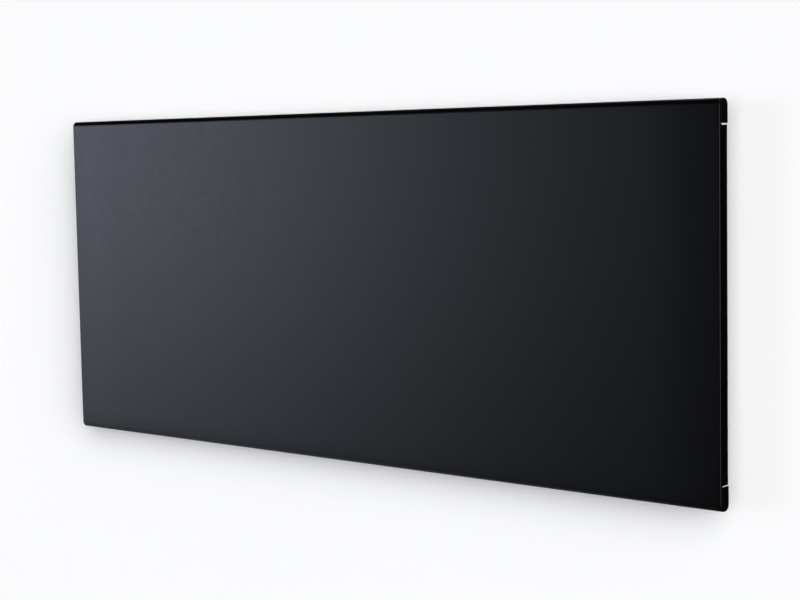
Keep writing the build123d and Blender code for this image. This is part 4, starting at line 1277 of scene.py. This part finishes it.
@dataclass
class GlandCap:
    """The cap nut of the cable gland: a hexagon with a ribbed dome, in millimetres."""

    x: float = 430.0
    y: float = -25.7
    tip: float = -220.0
    top: float = -204.4
    across: float = 20.0
    dome: float = 5.0
    dome_r: float = 3.2
    dome_lip: float = 0.2
    dome_turn: float = 75.0
    dome_steps: int = 6
    edge: float = 0.3
    edge_play: float = 0.1
    mouth: float = 0.5
    fall: float = 0.5
    sides: int = 72
    bore: float = 5.6
    inner: float = 8.05
    inner_from: float = -217.0
    ribs: int = 24
    rib: float = 0.35
    rib_from: float = 8.0
    rib_turn: float = 52.0
    rib_steps: int = 6
    rib_foot: float = 0.42
    rib_flat: float = 0.30
    rib_shoulder: float = 0.8
    rib_swell: Span = (0.6, 6.2)

    def neck(self) -> float:
        """Radius of the dome at its shoulder, under the ribs."""
        return self.across / 2 - self.rib - self.edge

    def dome_at(self, degrees: float) -> Span:
        """The dome's surface at an angle from its shoulder.

        Args:
            degrees: the angle.

        Returns:
            Its radius and its height.
        """
        angle = radians(degrees)
        rise = (self.dome - self.dome_lip) * sin(angle) / sin(radians(self.dome_turn))
        return self.neck() - self.dome_r * (1 - cos(angle)), self.tip + self.dome - rise

    def body(self) -> BMesh:
        """The nut about the Y axis, with Y for its height.

        Returns:
            The closed body.
        """
        outline = hexagon(self.across)
        edge = self.across / 2 - self.edge_play
        shoulder = self.tip + self.dome
        rows: Rows = [
            (self.bore, self.inner_from), (self.inner, self.inner_from), (self.inner, self.top - self.edge),
            (self.inner + self.edge, self.top), (edge, self.top),
            (outline, chamfered(outline, edge, self.top, -self.fall)),
            (outline, chamfered(outline, edge, shoulder, self.fall)), (edge, shoulder), (self.neck(), shoulder),
        ]
        rows += [self.dome_at(self.dome_turn * step / self.dome_steps) for step in range(1, self.dome_steps + 1)]
        rows += [(self.bore + self.mouth, self.tip), (self.bore, self.tip + self.mouth)]
        return turned(rows, self.sides, True)

    def rib_mesh(self) -> Mesh:
        """One grip rib that follows the dome, on the side of +X.

        Returns:
            The mesh.
        """
        bm = bmesh.new()
        rows = []
        foot, flat, (start, end) = self.rib_foot, self.rib_flat, self.rib_swell
        for step in range(self.rib_steps):
            out, high = self.dome_at(self.rib_from + self.rib_turn * step / (self.rib_steps - 1))
            swell = self.rib * sin(pi * (step + start) / end)
            shoulder = swell * self.rib_shoulder
            section = [(-self.edge, -foot), (shoulder, -flat), (swell, 0.0), (shoulder, flat), (-self.edge, foot)]
            rows.append([bm.verts.new(mm(out + dx, high, dz)) for dx, dz in section])
        for low, high_row in zip(rows, rows[1:]):
            for i in range(5):
                bm.faces.new([low[i], low[(i + 1) % 5], high_row[(i + 1) % 5], high_row[i]])
        bm.faces.new(rows[0])
        bm.faces.new(rows[-1])
        bmesh.ops.recalc_face_normals(bm, faces=bm.faces)
        return to_mesh("rib", bm, smooth_under=50)

    def build(self, repeater: Repeater) -> None:
        """Builds the nut with its ribs as one piece.

        Args:
            repeater: the tree that repeats the ribs.
        """
        turns = [tau * i / self.ribs for i in range(self.ribs)]
        ribs = repeater.mesh("ribs", self.rib_mesh(), [Vector()] * self.ribs, GLAND_NYLON, turns=turns)
        bm = self.body()
        bm.from_mesh(ribs)
        bpy.data.meshes.remove(ribs)
        for vert in bm.verts:
            x, height, z = vert.co
            vert.co = mm(self.x, self.y, 0) + Vector((x, -z, height))
        mesh = to_mesh("gland_cap_nut", bm, smooth_under=30)
        piece("gland_cap_nut", mesh, GLAND_NYLON, "gland_plastic", HEATER, "gland_nut")


# ---- Studio ------------------------------------------------------------------


@dataclass
class Lamp:
    """One soft sun: where it stands in the sky, how large it looks and how strong it is."""

    name: str
    azimuth: float
    elevation: float
    angle: float
    strength: float
    tint: Colour = (1.0, 1.0, 1.0)
    mirrored: bool = True
    lit: bool = True
    bounces: int = 1024

    def build(self) -> None:
        """Adds the lamp. Azimuth 0 is straight out of the wall, and it grows to the right."""
        data = bpy.data.lights.new(self.name, "SUN")
        data.energy, data.angle, data.color = self.strength, radians(self.angle), self.tint
        data.cycles.max_bounces = self.bounces
        lamp = add_object(self.name, data)
        lamp.visible_glossy = self.mirrored
        lamp.visible_diffuse = self.lit
        a, e = radians(self.azimuth), radians(self.elevation)
        towards = Vector((sin(a) * cos(e), -cos(a) * cos(e), sin(e)))
        lamp.rotation_mode = "QUATERNION"
        lamp.rotation_quaternion = towards.to_track_quat("Z", "Y")


def leave_to_camera(made: Object) -> None:
    """Only the camera sees a backdrop: it neither lights nor shades, and nothing mirrors it."""
    made.visible_diffuse = made.visible_glossy = made.visible_shadow = False


@dataclass
class Studio:
    """The wall, the floor, the lamps and the camera."""

    wall_size: float = 12.0
    floor_size: float = 60.0
    floor_z: float = -1.2
    ring_r: float = 29.0
    ring_top: float = 45.0
    ring_sides: int = 64
    wall_tone: Colour = (0.95, 0.95, 0.95)
    floor_tone: Colour = (0.80, 0.80, 0.80)
    ring_tone: Colour = (0.85, 0.85, 0.85)
    world_tone: Colour = (0.008, 0.0082, 0.009)
    camera_at: Point = (1.6697, -1.8879, 0.1955)
    camera_turn: Point = (85.100, 1.0801, 40.4861)
    lens: float = 78.9
    sensor: float = 36.0
    near: float = 0.05
    far: float = 200.0
    drift: float = 0.9
    drift_tone: float = 0.99

    def sheet(self, name: str, corners_at: list[Point], tone: Colour, see_through: bool) -> None:
        """A large flat backdrop.

        Args:
            name: its name.
            corners_at: its corners, in metres, anticlockwise from its front.
            tone: its colour.
            see_through: whether it is clear from behind.
        """
        mesh = bpy.data.meshes.new(name)
        mesh.from_pydata(corners_at, [], [tuple(range(len(corners_at)))])
        made = add_object(name, mesh)
        material, net = blank_material(name + "_paint")
        drift = net.spread(net.noise(net.place(), self.drift), (0.3, 0.7))
        colour = net.blend(drift, tone, tuple(c * self.drift_tone for c in tone))
        paint = net.add("ShaderNodeBsdfDiffuse", {"Color": colour}).outputs[0]
        if see_through:
            back = net.add("ShaderNodeNewGeometry").outputs["Backfacing"]
            clear = net.add("ShaderNodeBsdfTransparent").outputs[0]
            paint = net.add("ShaderNodeMixShader", {0: back, 1: paint, 2: clear}).outputs[0]
        net.add("ShaderNodeOutputMaterial", {"Surface": paint})
        mesh.materials.append(material)
        leave_to_camera(made)

    def ring(self) -> None:
        """Adds the pale backdrop all round, which only the camera sees."""
        bm = bmesh.new()
        rows = []
        for z in (self.floor_z, self.ring_top):
            spots = [tau * i / self.ring_sides for i in range(self.ring_sides)]
            rows.append([bm.verts.new((self.ring_r * cos(a), self.ring_r * sin(a), z)) for a in spots])
        for i in range(self.ring_sides):
            after = (i + 1) % self.ring_sides
            bm.faces.new([rows[0][after], rows[0][i], rows[1][i], rows[1][after]])
        made = add_object("studio_ring", to_mesh("studio_ring", bm))
        material, net = blank_material("studio_ring_paint")
        glow = net.add("ShaderNodeEmission", {"Color": (*self.ring_tone, 1.0), "Strength": 1.0})
        net.add("ShaderNodeOutputMaterial", {"Surface": glow.outputs[0]})
        made.data.materials.append(material)
        leave_to_camera(made)

    def build(self) -> None:
        """Builds the studio."""
        w, f, z = self.wall_size / 2, self.floor_size / 2, self.floor_z
        upright = [(-w, 0, z), (w, 0, z), (w, 0, z + 2 * w), (-w, 0, z + 2 * w)]
        self.sheet("studio_wall", upright, self.wall_tone, see_through=True)
        level = [(-f, -f, z), (f, -f, z), (f, f, z), (-f, f, z)]
        self.sheet("studio_floor", level, self.floor_tone, see_through=False)
        self.ring()
        for lamp in LAMPS:
            lamp.build()
        world = bpy.data.worlds.new("studio_air")
        world.use_nodes = True
        world.node_tree.nodes["Background"].inputs["Color"].default_value = (*self.world_tone, 1.0)
        bpy.context.scene.world = world
        self.camera()
        bpy.context.scene.view_settings.view_transform = "Standard"

    def camera(self) -> None:
        """Adds the camera at the photograph's place."""
        data = bpy.data.cameras.new("photo_camera")
        data.lens, data.sensor_width, data.clip_start, data.clip_end = self.lens, self.sensor, self.near, self.far
        camera = add_object("photo_camera", data)
        camera.location = self.camera_at
        camera.rotation_euler = [radians(a) for a in self.camera_turn]
        bpy.context.scene.camera = camera


WINDOW_TINT = (0.89, 0.96, 1.16)
LAMPS = [
    Lamp("middle", 10.0, 5.0, 36.0, 0.598, mirrored=False),
    Lamp("key", 38.0, 5.0, 36.0, 0.658, mirrored=False),
    Lamp("side", 62.0, 5.0, 36.0, 2.08, mirrored=False),
    Lamp("high_key", 38.0, 32.0, 36.0, 0.92, mirrored=False),
    Lamp("high_side", 62.0, 32.0, 36.0, 0.78, mirrored=False),
    Lamp("window_right", -46.0, -2.0, 20.0, 0.052, WINDOW_TINT),
    Lamp("window_low", -53.0, -2.0, 20.0, 0.092, WINDOW_TINT),
    Lamp("window_high", -53.0, 5.0, 20.0, 0.192, WINDOW_TINT),
    Lamp("sheen_low", -60.0, -25.0, 24.0, 0.097, WINDOW_TINT, lit=False),
    Lamp("sheen_lower", -75.0, -38.0, 24.0, 0.046, WINDOW_TINT, lit=False),
    Lamp("sheen_lowest", -92.0, -50.0, 24.0, 0.062, WINDOW_TINT, lit=False),
    Lamp("sheen_front", 0.0, 3.0, 24.0, 0.035, lit=False),
    Lamp("sheen_right", 83.0, 0.0, 30.0, 0.42, lit=False),
    Lamp("rear_key", -128.0, 20.0, 20.0, 2.9, mirrored=False, bounces=0),
    Lamp("rear_top", -165.0, 52.0, 30.0, 1.6, bounces=0),
]


# ---- The whole heater --------------------------------------------------------


def main() -> None:
    """Builds every piece, dresses the frame and sets the studio."""
    logging.basicConfig(level=logging.INFO, format="%(message)s")
    repeater = Repeater()
    dress_frame(CAD_FINISHES)
    FrontTray().build()
    CoverFasteners().build(repeater)
    RailRivets().build(repeater)
    LobeScrews("corner_cap_screws", "cap_screws", "black_fasteners", BLACK_OXIDE,
               corners(0, 0, 590, 235), seat_y=-30.0, length=10.0, seed=5).build(repeater)
    LobeScrews("lid_corner_screws", "lid_screws", "zinc_fasteners", BRIGHT_ZINC,
               corners(430, -167, 52.5, 25.5), seat_y=-11.1, length=14.0, seed=6).build(repeater)
    GlandCap().build(repeater)
    bpy.data.node_groups.remove(repeater.tree)
    Studio().build()


if __name__ == "__main__":
    main()
